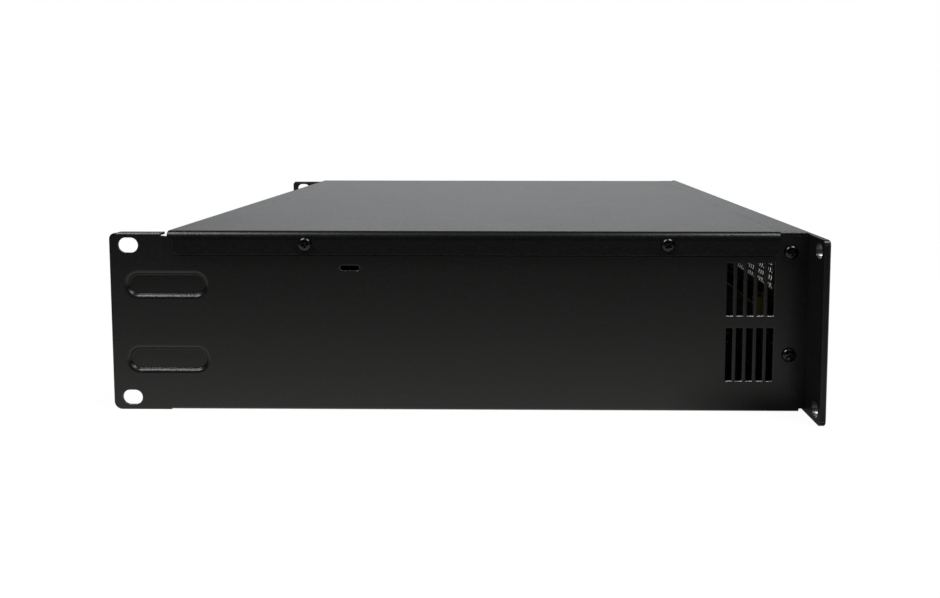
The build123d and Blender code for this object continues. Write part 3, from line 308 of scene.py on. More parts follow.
CREAM = plastic("nylon_cream", (0.80, 0.77, 0.64), rough=0.42, spec=0.45, sub=0.08)
PCB = pcb("board_green")
PCB_DARK = pcb("board_dark", (0.0025, 0.0045, 0.0040))
FILM = film("transformer_film", (0.72, 0.50, 0.14))

NODE_MAT = {
    "base_pan": BLACK_PAN, "front_frame": BLACK, "rear_panel": BLACK, "top_cover": BLACK_COVER, "front_panel": PANEL,
    "front_grille": GRILLE, "case_screws": SCREW, "bottom_screws": SCREW, "front_panel_screws": SCREW,
    "rear_screws": SCREW, "fan_screws": SCREW, "board_screws": ZINC, "board_standoffs": NICKEL,
    "gain_knob_a": KNOB, "gain_knob_b": KNOB, "pot_shaft_a": BRASS, "pot_shaft_b": BRASS, "gain_pots": ZINC,
    "pot_nuts": NICKEL, "power_rocker": GLOSS, "power_switch_housing": PLASTIC, "control_board": PCB_DARK,
    "indicator_leds": PLASTIC, "fan_frame_a": FANBLACK, "fan_frame_b": FANBLACK, "fan_rotor_a": FANBLACK,
    "fan_rotor_b": FANBLACK, "fan_guards": CHROME, "heatsink_a": ALU, "heatsink_b": ALU,
    "output_transistors": DEVICE, "amp_board_a": PCB, "amp_board_b": PCB, "toroidal_transformer": FILM,
    "transformer_clamp": ZINC, "transformer_bolt": ZINC, "transformer_pads": RUBBER, "bridge_rectifier": DEVICE,
    "power_supply_board": PCB, "reservoir_capacitors": SLEEVE, "output_relays": RELAY, "input_board": PCB,
    "mains_inlet": PLASTIC, "inlet_pins": NICKEL, "breaker_body": PLASTIC, "breaker_button": WHITE,
    "input_sockets": NICKEL, "input_latch_a": NICKEL, "input_latch_b": NICKEL, "link_sockets": NICKEL,
    "speaker_sockets": PLASTIC, "output_terminals": NICKEL, "post_bases": PLASTIC,
    "post_cap_a_red": RED, "post_cap_a_black": GLOSS, "post_cap_b_red": RED, "post_cap_b_black": GLOSS,
    "mode_switch": ZINC, "mode_slider": WHITE, "internal_wiring": WIRE,
}
NODE_BODY = {n: b for b, ns in frame["record"]["behaviour"]["bodies"].items() for n in ns}
for name, o in NODES.items():
    o.data.materials.clear()
    o.data.materials.append(NODE_MAT[name])


# =============================================================================
# mesh helpers
# =============================================================================
def obj_from(bm_or_mesh, name, mat):
    if isinstance(bm_or_mesh, bmesh.types.BMesh):
        me = bpy.data.meshes.new(name)
        bmesh.ops.recalc_face_normals(bm_or_mesh, faces=bm_or_mesh.faces)
        bm_or_mesh.to_mesh(me)
        bm_or_mesh.free()
    else:
        me = bm_or_mesh
        me.name = name
    o = bpy.data.objects.new(name, me)
    COLL.objects.link(o)
    me.materials.clear()
    me.materials.append(mat)
    return o


def smooth(o, angle=32.0):
    o.data.shade_smooth()
    o.data.set_sharp_from_angle(angle=math.radians(angle))
    return o


def add_bevel(o, width, segments=2, angle=30.0, harden=True):
    m = o.modifiers.new("edge_round", "BEVEL")
    m.width = width
    m.segments = segments
    m.limit_method = "ANGLE"
    m.angle_limit = math.radians(angle)
    m.use_clamp_overlap = True
    m.harden_normals = False
    m.miter_outer = "MITER_SHARP"
    if harden:
        w = o.modifiers.new("face_normals", "WEIGHTED_NORMAL")
        w.mode = "FACE_AREA"
        w.weight = 60
        w.keep_sharp = True
    return m


def bake(o):
    """Applies the modifiers, so that the final mesh is plain geometry."""
    dg = bpy.context.evaluated_depsgraph_get()
    me = bpy.data.meshes.new_from_object(o.evaluated_get(dg))
    me.name = o.data.name
    o.modifiers.clear()
    o.data = me
    return o


def place(o, node, body=None, replaces=True):
    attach(o, body or NODE_BODY[node])
    if replaces:
        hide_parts(node)
    return o


def cleaned(node):
    bm = bmesh.new()
    bm.from_mesh(NODES[node].data)
    bmesh.ops.remove_doubles(bm, verts=bm.verts, dist=1.5e-6)
    bmesh.ops.dissolve_degenerate(bm, edges=bm.edges, dist=1e-6)
    return bm


def islands(node):
    """The boxes of a node's separate solids, as (low, high) pairs in the row frame."""
    bm = cleaned(node)
    seen, out = set(), []
    for v in bm.verts:
        if v.index in seen:
            continue
        stack, lo, hi = [v], Vector(v.co), Vector(v.co)
        seen.add(v.index)
        while stack:
            w = stack.pop()
            lo = Vector(map(min, lo, w.co))
            hi = Vector(map(max, hi, w.co))
            for e in w.link_edges:
                n = e.other_vert(w)
                if n.index not in seen:
                    seen.add(n.index)
                    stack.append(n)
        out.append((lo, hi))
    bm.free()
    return out


def measure(me):
    """Area and volume of a mesh once it is cut into triangles, as an export would do."""
    bm = bmesh.new()
    bm.from_mesh(me)
    bmesh.ops.triangulate(bm, faces=bm.faces)
    area = sum(f.calc_area() for f in bm.faces)
    vol = bm.calc_volume()
    lo = Vector([min(v.co[i] for v in bm.verts) for i in range(3)])
    hi = Vector([max(v.co[i] for v in bm.verts) for i in range(3)])
    bm.free()
    return area, vol, lo, hi


WALL = 215.2
BEADS = ((315.2, 18.5), (315.2, -18.8))
BEAD_R, BEAD_HALF, BEAD_DEEP, BEAD_GROW = 6.4, 14.05, 1.8, 0.85
VENTS = [(y, z0, z1) for y in (17.9, 22.9, 27.9, 32.9, 37.9) for z0, z1 in ((3.9, 29.8), (-28.7, -2.5))]


def bead_profile(r_out=2.3, r_in=0.6, slope=58.0, n_out=10, n_in=5):
    """Inset and depth across a bead's wall: a full round, a short steep run and a tight inner round."""
    t = math.radians(slope)
    run = (BEAD_DEEP - (r_out + r_in) * (1 - math.cos(t))) / math.sin(t)
    pts = [(r_out * math.sin(t * i / n_out), r_out * (1 - math.cos(t * i / n_out))) for i in range(1, n_out + 1)]
    wide = (r_out + r_in) * math.sin(t) + run * math.cos(t)
    pts += [(wide - r_in * math.sin(t * i / n_in), BEAD_DEEP - r_in * (1 - math.cos(t * i / n_in))) for i in range(n_in, -1, -1)]
    return pts


def press(bm):
    """Side walls as the press leaves them: rounded beads, and slots with rolled-over outer edges."""
    for side in (-1, 1):
        for yc, zc in BEADS:
            def radial(co):
                y, z = co.y * 1000 - yc, co.z * 1000 - zc
                cy = max(-BEAD_HALF, min(BEAD_HALF, y))
                return math.hypot(y - cy, z), cy
            gone = []
            for f in bm.faces:
                if f.normal.x * side > 0.05 and all(
                        213.3 < v.co.x * 1000 * side < 215.3 and radial(v.co)[0] < BEAD_R + 0.03 for v in f.verts):
                    gone.append(f)
            inside = {v for f in gone for v in f.verts}
            bmesh.ops.delete(bm, geom=gone, context="FACES_ONLY")
            rim = [e for e in bm.edges if len(e.link_faces) == 1 and e.verts[0] in inside and e.verts[1] in inside
                   and all(v.co.x * 1000 * side > 215.1 for v in e.verts)]
            loop = [rim[0].verts[0]]
            left = set(rim)
            while left:
                nxt = next((e for e in left if loop[-1] in e.verts), None)
                if nxt is None:
                    break
                left.discard(nxt)
                loop.append(nxt.other_vert(loop[-1]))
            loop = loop[:-1]
            for v in loop:
                r, cy = radial(v.co)
                k = (BEAD_R + BEAD_GROW) / r
                y, z = v.co.y * 1000 - yc, v.co.z * 1000 - zc
                v.co.y, v.co.z = (yc + cy + (y - cy) * k) / 1000, (zc + z * k) / 1000
            prev = loop
            for w, d in bead_profile():
                ring = []
                for v in loop:
                    r, cy = radial(v.co)
                    k = (BEAD_R + BEAD_GROW - w) / r
                    y, z = v.co.y * 1000 - yc, v.co.z * 1000 - zc
                    ring.append(bm.verts.new((side * (WALL - d) / 1000, (yc + cy + (y - cy) * k) / 1000, (zc + z * k) / 1000)))
                for i in range(len(loop)):
                    j = (i + 1) % len(loop)
                    bm.faces.new((prev[i], prev[j], ring[j], ring[i]))
                prev = ring
            bm.faces.new(prev)
            loose = [v for v in inside if v.is_valid and not v.link_faces]
            bmesh.ops.delete(bm, geom=loose, context="VERTS")
    bmesh.ops.recalc_face_normals(bm, faces=bm.faces)
    bm.normal_update()

    def at_slot(co):
        y, z = co.y * 1000, co.z * 1000
        if abs(abs(co.x * 1000) - WALL) > 0.02:
            return False
        if abs(y - 224.6) < 4.75 and abs(z - 27.0) < 1.2:
            return True
        return any(abs(y - yc) < 1.52 and z0 - 0.02 < z < z1 + 0.02 for yc, z0, z1 in VENTS)
    rims = [e for e in bm.edges if len(e.link_faces) == 2 and at_slot(e.verts[0].co) and at_slot(e.verts[1].co)
            and min(abs(f.normal.x) for f in e.link_faces) < 0.2 and max(abs(f.normal.x) for f in e.link_faces) > 0.9]
    bmesh.ops.bevel(bm, geom=rims, offset=0.00055, offset_type="OFFSET", segments=4, profile=0.5, affect="EDGES",
                    clamp_overlap=False)


def fold_cover(bm):
    """Top cover as it leaves the brake: a fuller bend, and lips that spring out a little at their lower edge."""
    top = max(v.co.z for v in bm.verts) * 1000
    cx, cz = 216.3 - 2.0, top - 2.0
    for v in bm.verts:
        x, y, z = (c * 1000 for c in v.co)
        s = 1 if x > 0 else -1
        x = abs(x)
        r = math.hypot(x - cx, z - cz)
        if x >= cx - 0.01 and z >= cz - 0.01 and r > 0.9:
            k = (r + 1.6) / r
            x, z = cx - 1.6 + (x - cx) * k, cz - 1.6 + (z - cz) * k
        elif x > 215.0 and cz - 1.2 < z < cz - 0.5:
            z = cz - 1.8
        if x > 215.0 and z < cz - 1.5:
            x += 0.55 * (cz - 1.5 - z) / 8.0
        v.co = (s * x / 1000, y / 1000, z / 1000)
    bm.normal_update()


def refine(node, width=0.0002, segments=2, angle=28.0, mat=None, bevel=True, smooth_angle=30.0, dissolve=True, shape=None):
    """A finer copy of a CAD node: welded, edges rounded in geometry where that leaves the shape whole, smooth where it curves."""
    ref = measure(NODES[node].data)
    near = 0.0003 if shape is None else 0.0008
    tries = [(d, b) for d, b in ((True, True), (False, True), (False, False)) if (dissolve or not d) and (bevel or not b)]
    for join, round_it in tries:
        bm = cleaned(node)
        if join:
            bmesh.ops.dissolve_limit(bm, angle_limit=math.radians(0.6), verts=bm.verts, edges=bm.edges)
            if shape is not None:
                shape(bm)
        o = obj_from(bm, "skin_" + node, mat or NODE_MAT[node])
        smooth(o, smooth_angle)
        if round_it:
            add_bevel(o, width, segments, angle)
            bake(o)
        got = measure(o.data)
        whole = (0.95 * ref[0] < got[0] < 1.0006 * ref[0] and 0.96 * ref[1] < got[1] < 1.0006 * ref[1]
                 and (got[2] - ref[2]).length < near and (got[3] - ref[3]).length < near)
        if whole or (join, round_it) == tries[-1]:
            print("skin", node, "joined" if join else "as cut", "rounded" if round_it else "plain",
                  round(got[0] / ref[0], 4), round(got[1] / ref[1], 4), len(o.data.polygons))
            break
        bpy.data.objects.remove(o)
    place(o, node)
    return o


print("frame loaded", len(NODES))


# =============================================================================
# mesh builder, dimensions in millimetres
# =============================================================================
def T(x, y, z):
    return Matrix.Translation((x, y, z))


def R(deg, axis):
    return Matrix.Rotation(math.radians(deg), 4, axis)


def aim(pos, direction, turn=0.0):
    """Matrix that takes +Z to direction at pos, turned about it."""
    q = Vector((0, 0, 1)).rotation_difference(Vector(direction))
    return T(*pos) @ q.to_matrix().to_4x4() @ R(turn, "Z")


class Build:
    def __init__(self):
        self.bm = bmesh.new()
        self.mats = []

    def mi(self, mat):
        if mat not in self.mats:
            self.mats.append(mat)
        return self.mats.index(mat)

    def box(self, x0, x1, y0, y1, z0, z1, mat, r=0.0, segs=2, M=None):
        co = [(x, y, z) for x in (x0, x1) for y in (y0, y1) for z in (z0, z1)]
        v = [self.bm.verts.new(c) for c in co]
        idx = self.mi(mat)
        faces = []
        for f in ((0, 1, 3, 2), (4, 6, 7, 5), (0, 4, 5, 1), (2, 3, 7, 6), (0, 2, 6, 4), (1, 5, 7, 3)):
            fc = self.bm.faces.new([v[i] for i in f])
            fc.material_index = idx
            faces.append(fc)
        verts = v
        if r > 0:
            edges = list({e for f in faces for e in f.edges})
            res = bmesh.ops.bevel(self.bm, geom=edges, offset=r, segments=segs, profile=0.5, affect="EDGES",
                                  clamp_overlap=True)
            verts = list({w for f in res["faces"] for w in f.verts} | {w for f in faces if f.is_valid for w in f.verts})
            for f in res["faces"]:
                f.material_index = idx
        if M is not None:
            bmesh.ops.transform(self.bm, matrix=M, verts=[w for w in verts if w.is_valid])
        return self

    def lathe(self, prof, mat, M, segs=40, wobble=None):
        """Revolves (radius, height) points about +Z, then moves them by M."""
        idx = self.mi(mat)
        rows = []
        for r, h in prof:
            if r < 1e-6:
                rows.append([self.bm.verts.new(M @ Vector((0, 0, h)))])
            else:
                row = []
                for k in range(segs):
                    a = 2 * math.pi * k / segs
                    q = r if wobble is None else wobble(r, h, a)
                    row.append(self.bm.verts.new(M @ Vector((q * math.cos(a), q * math.sin(a), h))))
                rows.append(row)
        for a, b in zip(rows, rows[1:]):
            for k in range(segs):
                j = (k + 1) % segs
                if len(a) == 1 and len(b) == 1:
                    continue
                if len(a) == 1:
                    f = self.bm.faces.new((a[0], b[k], b[j]))
                elif len(b) == 1:
                    f = self.bm.faces.new((a[k], b[0], a[j]))
                else:
                    f = self.bm.faces.new((a[k], b[k], b[j], a[j]))
                f.material_index = idx
        return self

    def ring(self, major, minor, mat, M, segs=96, sides=12):
        prof = []
        idx = self.mi(mat)
        rows = []
        for k in range(segs):
            a = 2 * math.pi * k / segs
            row = []
            for s in range(sides):
                b = 2 * math.pi * s / sides
                q = major + minor * math.cos(b)
                row.append(self.bm.verts.new(M @ Vector((q * math.cos(a), q * math.sin(a), minor * math.sin(b)))))
            rows.append(row)
        for k in range(segs):
            a, b = rows[k], rows[(k + 1) % segs]
            for s in range(sides):
                t = (s + 1) % sides
                self.bm.faces.new((a[s], b[s], b[t], a[t])).material_index = idx
        return self

    def tube(self, pts, r, mat, sides=12):
        """A round wire through points, with closed ends."""
        idx = self.mi(mat)
        pts = [Vector(p) for p in pts]
        rows, up = [], None
        for i, p in enumerate(pts):
            d = (pts[min(i + 1, len(pts) - 1)] - pts[max(i - 1, 0)]).normalized()
            if up is None:
                up = d.orthogonal().normalized()
            up = (up - d * up.dot(d)).normalized()
            side = d.cross(up)
            rows.append([self.bm.verts.new(p + (up * math.cos(2 * math.pi * k / sides)
                                                + side * math.sin(2 * math.pi * k / sides)) * r) for k in range(sides)])
        for a, b in zip(rows, rows[1:]):
            for k in range(sides):
                j = (k + 1) % sides
                self.bm.faces.new((a[k], b[k], b[j], a[j])).material_index = idx
        self.bm.faces.new(rows[0]).material_index = idx
        self.bm.faces.new(rows[-1][::-1]).material_index = idx
        return self

    def mesh(self, me, M, mat=None):
        """Adds a ready mesh; its own material indices are kept when mat is None."""
        old_f = set(self.bm.faces)
        old_v = set(self.bm.verts)
        self.bm.from_mesh(me)
        new_v = [v for v in self.bm.verts if v not in old_v]
        bmesh.ops.transform(self.bm, matrix=M, verts=new_v)
        if mat is not None:
            idx = self.mi(mat)
            for f in self.bm.faces:
                if f not in old_f:
                    f.material_index = idx
        return self

    def done(self, name, body, node=None, angle=32.0, recalc=True):
        bmesh.ops.scale(self.bm, vec=(MM, MM, MM), verts=self.bm.verts)
        if recalc:
            bmesh.ops.recalc_face_normals(self.bm, faces=self.bm.faces)
        me = bpy.data.meshes.new(name)
        self.bm.to_mesh(me)
        self.bm.free()
        o = bpy.data.objects.new(name, me)
        COLL.objects.link(o)
        for m in self.mats:
            me.materials.append(m)
        smooth(o, angle)
        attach(o, body)
        if node:
            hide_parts(node)
        return o


def text_mesh(s, size, thick=0.03):
    """A flat, slightly raised glyph run, centred, in the XY plane facing +Z, in millimetres."""
    cu = bpy.data.curves.new("glyphs", "FONT")
    cu.body = s
    cu.size = size
    cu.align_x = "CENTER"
    cu.align_y = "CENTER"
    cu.extrude = thick / 2
    cu.resolution_u = 5
    o = bpy.data.objects.new("glyphs", cu)
    COLL.objects.link(o)
    dg = bpy.context.evaluated_depsgraph_get()
    me = bpy.data.meshes.new_from_object(o.evaluated_get(dg))
    bpy.data.objects.remove(o)
    bpy.data.curves.remove(cu)
    return me


FACE_FRONT = R(90, "X")                       # +Z of a drawing to -Y, +Y to +Z
FACE_REAR = R(180, "Z") @ R(90, "X")          # +Z of a drawing to +Y, +Y to +Z
FRONT_Y = -3.0
REAR_Y1 = 313.0


def cross_cut(arm, width, depth, z_top):
    """Tapered cross-recess cutter, arms along X and Y."""
    bm = bmesh.new()
    rows = []
    for z, a, w in ((z_top, arm, width), (z_top - depth * 0.72, arm * 0.74, width * 0.86), (z_top - depth, arm * 0.30, width * 0.5)):
        h = w / 2
        pts = [(h, h), (h, a), (-h, a), (-h, h), (-a, h), (-a, -h), (-h, -h), (-h, -a), (h, -a), (h, -h), (a, -h), (a, h)]
        rows.append([bm.verts.new((x, y, z)) for x, y in pts])
    n = 12
    for a, b in zip(rows, rows[1:]):
        for k in range(n):
            j = (k + 1) % n
            bm.faces.new((a[k], a[j], b[j], b[k]))
    bm.faces.new(rows[0])
    bm.faces.new(rows[-1][::-1])
    bmesh.ops.recalc_face_normals(bm, faces=bm.faces)
    me = bpy.data.meshes.new("cutter")
    bm.to_mesh(me)
    bm.free()
    return me


def screw_mesh(head_r, head_h, shank_r, shank_l, flat=False, segs=56):
    """Cross-recess screw, head up; the underside of a pan head or the face of a flush head is at Z 0."""
    if flat:
        prof = [(0, 0), (head_r * 0.6, 0), (head_r * 0.95, 0), (head_r, -head_h * 0.08), (shank_r, -head_h)]
        top, low = 0.0, -head_h
    else:
        prof = [(0, head_h), (head_r * 0.3, head_h * 0.995), (head_r * 0.5, head_h * 0.97), (head_r * 0.66, head_h * 0.91),
                (head_r * 0.79, head_h * 0.81), (head_r * 0.89, head_h * 0.67), (head_r * 0.955, head_h * 0.5),
                (head_r * 0.99, head_h * 0.32), (head_r, head_h * 0.16), (head_r * 0.985, head_h * 0.02),
                (head_r * 0.95, 0.0), (shank_r, 0.0)]
        top, low = head_h, 0.0
    z = low - 0.3
    while z > low - shank_l + 0.9:
        prof += [(shank_r, z), (shank_r * 0.84, z - 0.3), (shank_r, z - 0.6)]
        z -= 0.62
    prof += [(shank_r * 0.8, low - shank_l), (0, low - shank_l)]
    b = Build()
    b.lathe(prof, SCREW, Matrix.Identity(4), segs)
    bmesh.ops.recalc_face_normals(b.bm, faces=b.bm.faces)
    me = bpy.data.meshes.new("screw")
    b.bm.to_mesh(me)
    b.bm.free()
    a = bpy.data.objects.new("screw_tmp", me)
    arm = head_r * (0.60 if not flat else 0.58)
    depth = min(head_h * 0.8, head_r * 0.55) if not flat else head_h * 0.7
    c = bpy.data.objects.new("cut_tmp", cross_cut(arm, head_r * 0.27, depth + 0.3, top + 0.3))
    for o in (a, c):
        COLL.objects.link(o)
    m = a.modifiers.new("recess", "BOOLEAN")
    m.operation = "DIFFERENCE"
    m.solver = "EXACT"
    m.object = c
    v = a.modifiers.new("soft", "BEVEL")
    v.width = head_r * 0.018
    v.segments = 1
    v.limit_method = "ANGLE"
    v.angle_limit = math.radians(50)
    dg = bpy.context.evaluated_depsgraph_get()
    out = bpy.data.meshes.new_from_object(a.evaluated_get(dg))
    for o in (a, c):
        bpy.data.objects.remove(o)
    return out


def screw_set(name, node, mat, items):
    """items: list of (mesh, matrix)."""
    b = Build()
    for me, M in items:
        b.mesh(me, M, mat)
    return b.done(name, NODE_BODY[node], node, angle=38.0)


def paint(o, rules):
    """Gives faces a material by their centre in millimetres; the first rule that holds wins."""
    me = o.data
    idx = {}
    for _, mat in rules:
        if mat.name not in idx:
            names = [m.name for m in me.materials]
            if mat.name in names:
                idx[mat.name] = names.index(mat.name)
            else:
                me.materials.append(mat)
                idx[mat.name] = len(me.materials) - 1
    for p in me.polygons:
        x, y, z = (c * 1000 for c in p.center)
        for test, mat in rules:
            if test(x, y, z):
                p.material_index = idx[mat.name]
                break
    return o


def paint_islands(o, mats):
    """One material per separate solid, in the order in which their vertices appear."""
    me = o.data
    me.materials.clear()
    for m in mats:
        me.materials.append(m)
    bm = bmesh.new()
    bm.from_mesh(me)
    bm.verts.ensure_lookup_table()
    seen, n = set(), 0
    for f in bm.faces:
        if f.index in seen:
            continue
        stack = [f]
        seen.add(f.index)
        while stack:
            g = stack.pop()
            g.material_index = min(n, len(mats) - 1)
            for e in g.edges:
                for h in e.link_faces:
                    if h.index not in seen:
                        seen.add(h.index)
                        stack.append(h)
        n += 1
    bm.to_mesh(me)
    bm.free()
    return o


# =============================================================================
# refined skins of the sheet metal and mouldings
# =============================================================================
WIDTHS = {
    "base_pan": 0.00016, "front_frame": 0.00014, "rear_panel": 0.00014, "top_cover": 0.00016, "front_panel": 0.00022,
    "gain_knob_a": 0.00012, "gain_knob_b": 0.00012, "pot_shaft_a": 0.0002, "pot_shaft_b": 0.0002,
    "gain_pots": 0.0003, "pot_nuts": 0.00015, "power_rocker": 0.00025, "power_switch_housing": 0.00025,
    "control_board": 0.00012, "fan_frame_a": 0.00035, "fan_frame_b": 0.00035, "heatsink_a": 0.0002,
    "heatsink_b": 0.0002, "output_transistors": 0.00015, "amp_board_a": 0.00012, "amp_board_b": 0.00012,
    "bridge_rectifier": 0.0002, "power_supply_board": 0.00012, "output_relays": 0.0005, "input_board": 0.00012,
    "mains_inlet": 0.0003, "inlet_pins": 0.0003, "breaker_body": 0.0002, "input_sockets": 0.0002,
    "input_latch_a": 0.00015, "input_latch_b": 0.00015, "link_sockets": 0.00018, "speaker_sockets": 0.00025,
    "output_terminals": 0.0002, "post_bases": 0.0003, "post_cap_a_red": 0.00012, "post_cap_a_black": 0.00012,
    "post_cap_b_red": 0.00012, "post_cap_b_black": 0.00012, "mode_switch": 0.00015, "mode_slider": 0.00015,
    "transformer_clamp": 0.0002, "transformer_bolt": 0.0002, "transformer_pads": 0.0003, "board_standoffs": 0.00015,
    "board_screws": 0.0001, "bottom_screws": 0.0001, "indicator_leds": 0.00005,
}
SKIN = {}
SHAPE = {"base_pan": press, "top_cover": fold_cover}
for name, width in WIDTHS.items():
    SKIN[name] = refine(name, width, shape=SHAPE.get(name))

IN_PAINT = {
    # painted highlight: the lower rims of the vents and of the slit in the side walls get the lighter rim powder
    "base_pan": [(lambda x, y, z: 214.62 < abs(x) < 215.15 and 10 < y < 285
                  and (-30 < z < -27.8 or 3 < z < 5 or 25 < z < 27.5), PAINTED_RIM_HIGHLIGHT)],
    # painted highlight: the walls of the rack slots in the panel ears get the lighter rim powder, standing in for their
    # glints
    "front_panel": [(lambda x, y, z: abs(x) > 222 and abs(abs(z) - 38.1) < 3.9 and -2.7 < y < -0.3, PAINTED_RIM_HIGHLIGHT)],
    "control_board": [(lambda x, y, z: -20.1 < x < 20.1 and y > 9.65 and -36.1 < z < -11.9, DEVICE),
                      (lambda x, y, z: -174.1 < x < -162.9 and y > 9.65, YELLOW_DULL),
                      (lambda x, y, z: z > -3.6 and y < 9.7, DEVICE),
                      (lambda x, y, z: 59.9 < x < 100.1 and y > 9.65 and z > -16.1, CREAM)],
    "amp_board_a": [(lambda x, y, z: (x - 180) ** 2 + (y - 165) ** 2 < 12.1 ** 2 and z > -31.35, BRASS),
                    (lambda x, y, z: z > -31.35, CREAM)],
    "amp_board_b": [(lambda x, y, z: (x + 62) ** 2 + (y - 212) ** 2 < 12.1 ** 2 and z > -31.35, BRASS)],
    "power_supply_board": [(lambda x, y, z: z > -31.35, CREAM)],
    "input_board": [(lambda x, y, z: y < 284.15, CREAM)],
    "bridge_rectifier": [(lambda x, y, z: z > -33.9, NICKEL)],
    "output_transistors": [(lambda x, y, z: z < -20.02, NICKEL)],
    "power_switch_housing": [(lambda x, y, z: y > 16.02, NICKEL)],
    "mode_switch": [(lambda x, y, z: y < 300.98, NICKEL)],
    "breaker_body": [(lambda x, y, z: y < 282.98, NICKEL),
                     (lambda x, y, z: y > 313.0 and (y < 315.65) and math.hypot(x - 183, z - 20) > 5.45, NICKEL)],
    "input_sockets": [(lambda x, y, z: 299.0 < y < 314.9 and min(math.hypot(x + 142, z - 21), math.hypot(x + 142, z + 21)) < 7.75,
                       PLASTIC),
                      (lambda x, y, z: y < 299.3, PLASTIC)],
    "link_sockets": [(lambda x, y, z: y > 300.6 and min(math.hypot(x + 176 + d * math.cos(a), s - z + d * math.sin(a))
                                                        for d in (4.6,) for s in (21, -21)
                                                        for a in (math.radians(90), math.radians(210), math.radians(330)))
                      < 1.35, GOLD),
                     (lambda x, y, z: y < 301.3, PLASTIC)],
    "post_bases": [(lambda x, y, z: x > -82, RED)],
    "indicator_leds": [(lambda x, y, z: y > 3.85, NICKEL)],
    "gain_pots": [(lambda x, y, z: y < 1.25, NICKEL)],
}
LED_GREEN = lens("led_green", (0.10, 0.42, 0.13))
LED_AMBER = lens("led_amber", (0.60, 0.30, 0.04))
LED_RED = lens("led_red", (0.50, 0.03, 0.025))
for name, rules in IN_PAINT.items():
    paint(SKIN[name], rules)
for k in range(12):
    x0 = (-60 + 8 * k) if k < 6 else (20 + 8 * (k - 6))
    mat = (LED_GREEN, LED_GREEN, LED_GREEN, LED_AMBER, LED_AMBER, LED_RED)[k % 6]
    paint(SKIN["indicator_leds"], [(lambda x, y, z, x0=x0: abs(x - x0) < 3 and y <= 3.85, mat)])

# dense meshes that are already fine keep their own geometry
for name in ("front_grille",):
    NODES[name].data.shade_smooth()


# =============================================================================
# screws
# =============================================================================
case = []
pan_big, pan_side = screw_mesh(3.4, 2.3, 1.75, 6.5), screw_mesh(3.5, 2.3, 1.75, 6.5)
turn = 12
for side in (-1, 1):
    for y, z in ((246.2, 38.9), (68.8, 38.9)):
        case.append((pan_big, aim((side * 216.3, y, z), (side, 0, 0), turn)))
        turn += 37
    for y, z in ((8.6, 35.3), (8.6, -15.6)):
        case.append((pan_side, aim((side * 215.2, y, z), (side, 0, 0), turn)))
        turn += 37
screw_set("case_screw_set", "case_screws", SCREW, case)

flush_front = screw_mesh(3.9, 1.9, 1.55, 5.5, flat=True)
screw_set("panel_screw_set", "front_panel_screws", SCREW, [
    (flush_front, aim((x, -2.98, z), (0, -1, 0), 17 + 31 * i))
    for i, (x, z) in enumerate(((-205.0, 30.0), (-205.0, -30.0), (205.0, 30.0), (205.0, -30.0)))])

pan_rear = screw_mesh(2.6, 1.7, 1.45, 7.0)
rear = []
for z in (21.0, -21.0):
    for x in (-142.0, -176.0, -48.0):
        for sx, sz in ((-1, 1), (1, -1)):
            rear.append((pan_rear, aim((x + sx * 9.5, 315.2, z + sz * 12.0), (0, 1, 0), 9 + 41 * len(rear))))
for sx in (-1, 1):
    rear.append((pan_rear, aim((183.0 + sx * 20, 316.2, -17.0), (0, 1, 0), 9 + 41 * len(rear))))
screw_set("rear_screw_set", "rear_screws", SCREW, rear)

pan_fan = screw_mesh(3.4, 2.2, 1.95, 30.0)
screw_set("fan_screw_set", "fan_screws", SCREW, [
    (pan_fan, aim((x + 35.75 * math.sqrt(2) * math.sin(math.radians(45 + 90 * k)), 315.35,
                   35.75 * math.sqrt(2) * math.cos(math.radians(45 + 90 * k))), (0, 1, 0), 21 + 33 * k))
    for x in (105.0, 15.0) for k in range(4)])


# =============================================================================
# front: pointers, dials, indicator and switch legends
# =============================================================================
for s, tag in ((-1, "a"), (1, "b")):
    b = Build()
    cx = s * 96.0
    b.box(cx - 0.62, cx + 0.62, -19.42, -18.92, -21 + 3.15, -21 + 10.1, PRINT, r=0.12)
    b.done("knob_pointer_" + tag, "gain_" + tag)

b = Build()
for s in (-1, 1):
    cx = s * 96.0
    for k in range(51):
        a = math.radians(-150 + 6 * k)
        major = k % 5 == 0
        r0, r1, w = (14.3, 16.5, 0.42) if major else (14.3, 15.4, 0.24)
        M = T(cx, 0, -21.0) @ Matrix.Rotation(a, 4, "Y")
        b.box(-w / 2, w / 2, -3.03, -3.0, r0, r1, PRINT, M=M)
        if major:
            n = k // 5
            me = text_mesh(str(n), 2.7)
            rad = 18.6
            b.mesh(me, T(cx + rad * math.sin(a), FRONT_Y - 0.015, -21.0 + rad * math.cos(a)) @ FACE_FRONT, PRINT)
for k, x0 in enumerate((-60, 20)):
    b.box(x0 - 3.0, x0 + 43.0, -3.03, -3.0, -26.2, -25.95, PRINT)
    for i in range(6):
        b.box(x0 + 8 * i - 0.14, x0 + 8 * i + 0.14, -3.03, -3.0, -26.2, -25.0, PRINT)
    b.box(x0 - 3.0, x0 - 2.75, -3.03, -3.0, -26.2, -25.0, PRINT)
    b.box(x0 + 42.75, x0 + 43.0, -3.03, -3.0, -26.2, -25.0, PRINT)
b.done("front_print", "chassis", angle=20)

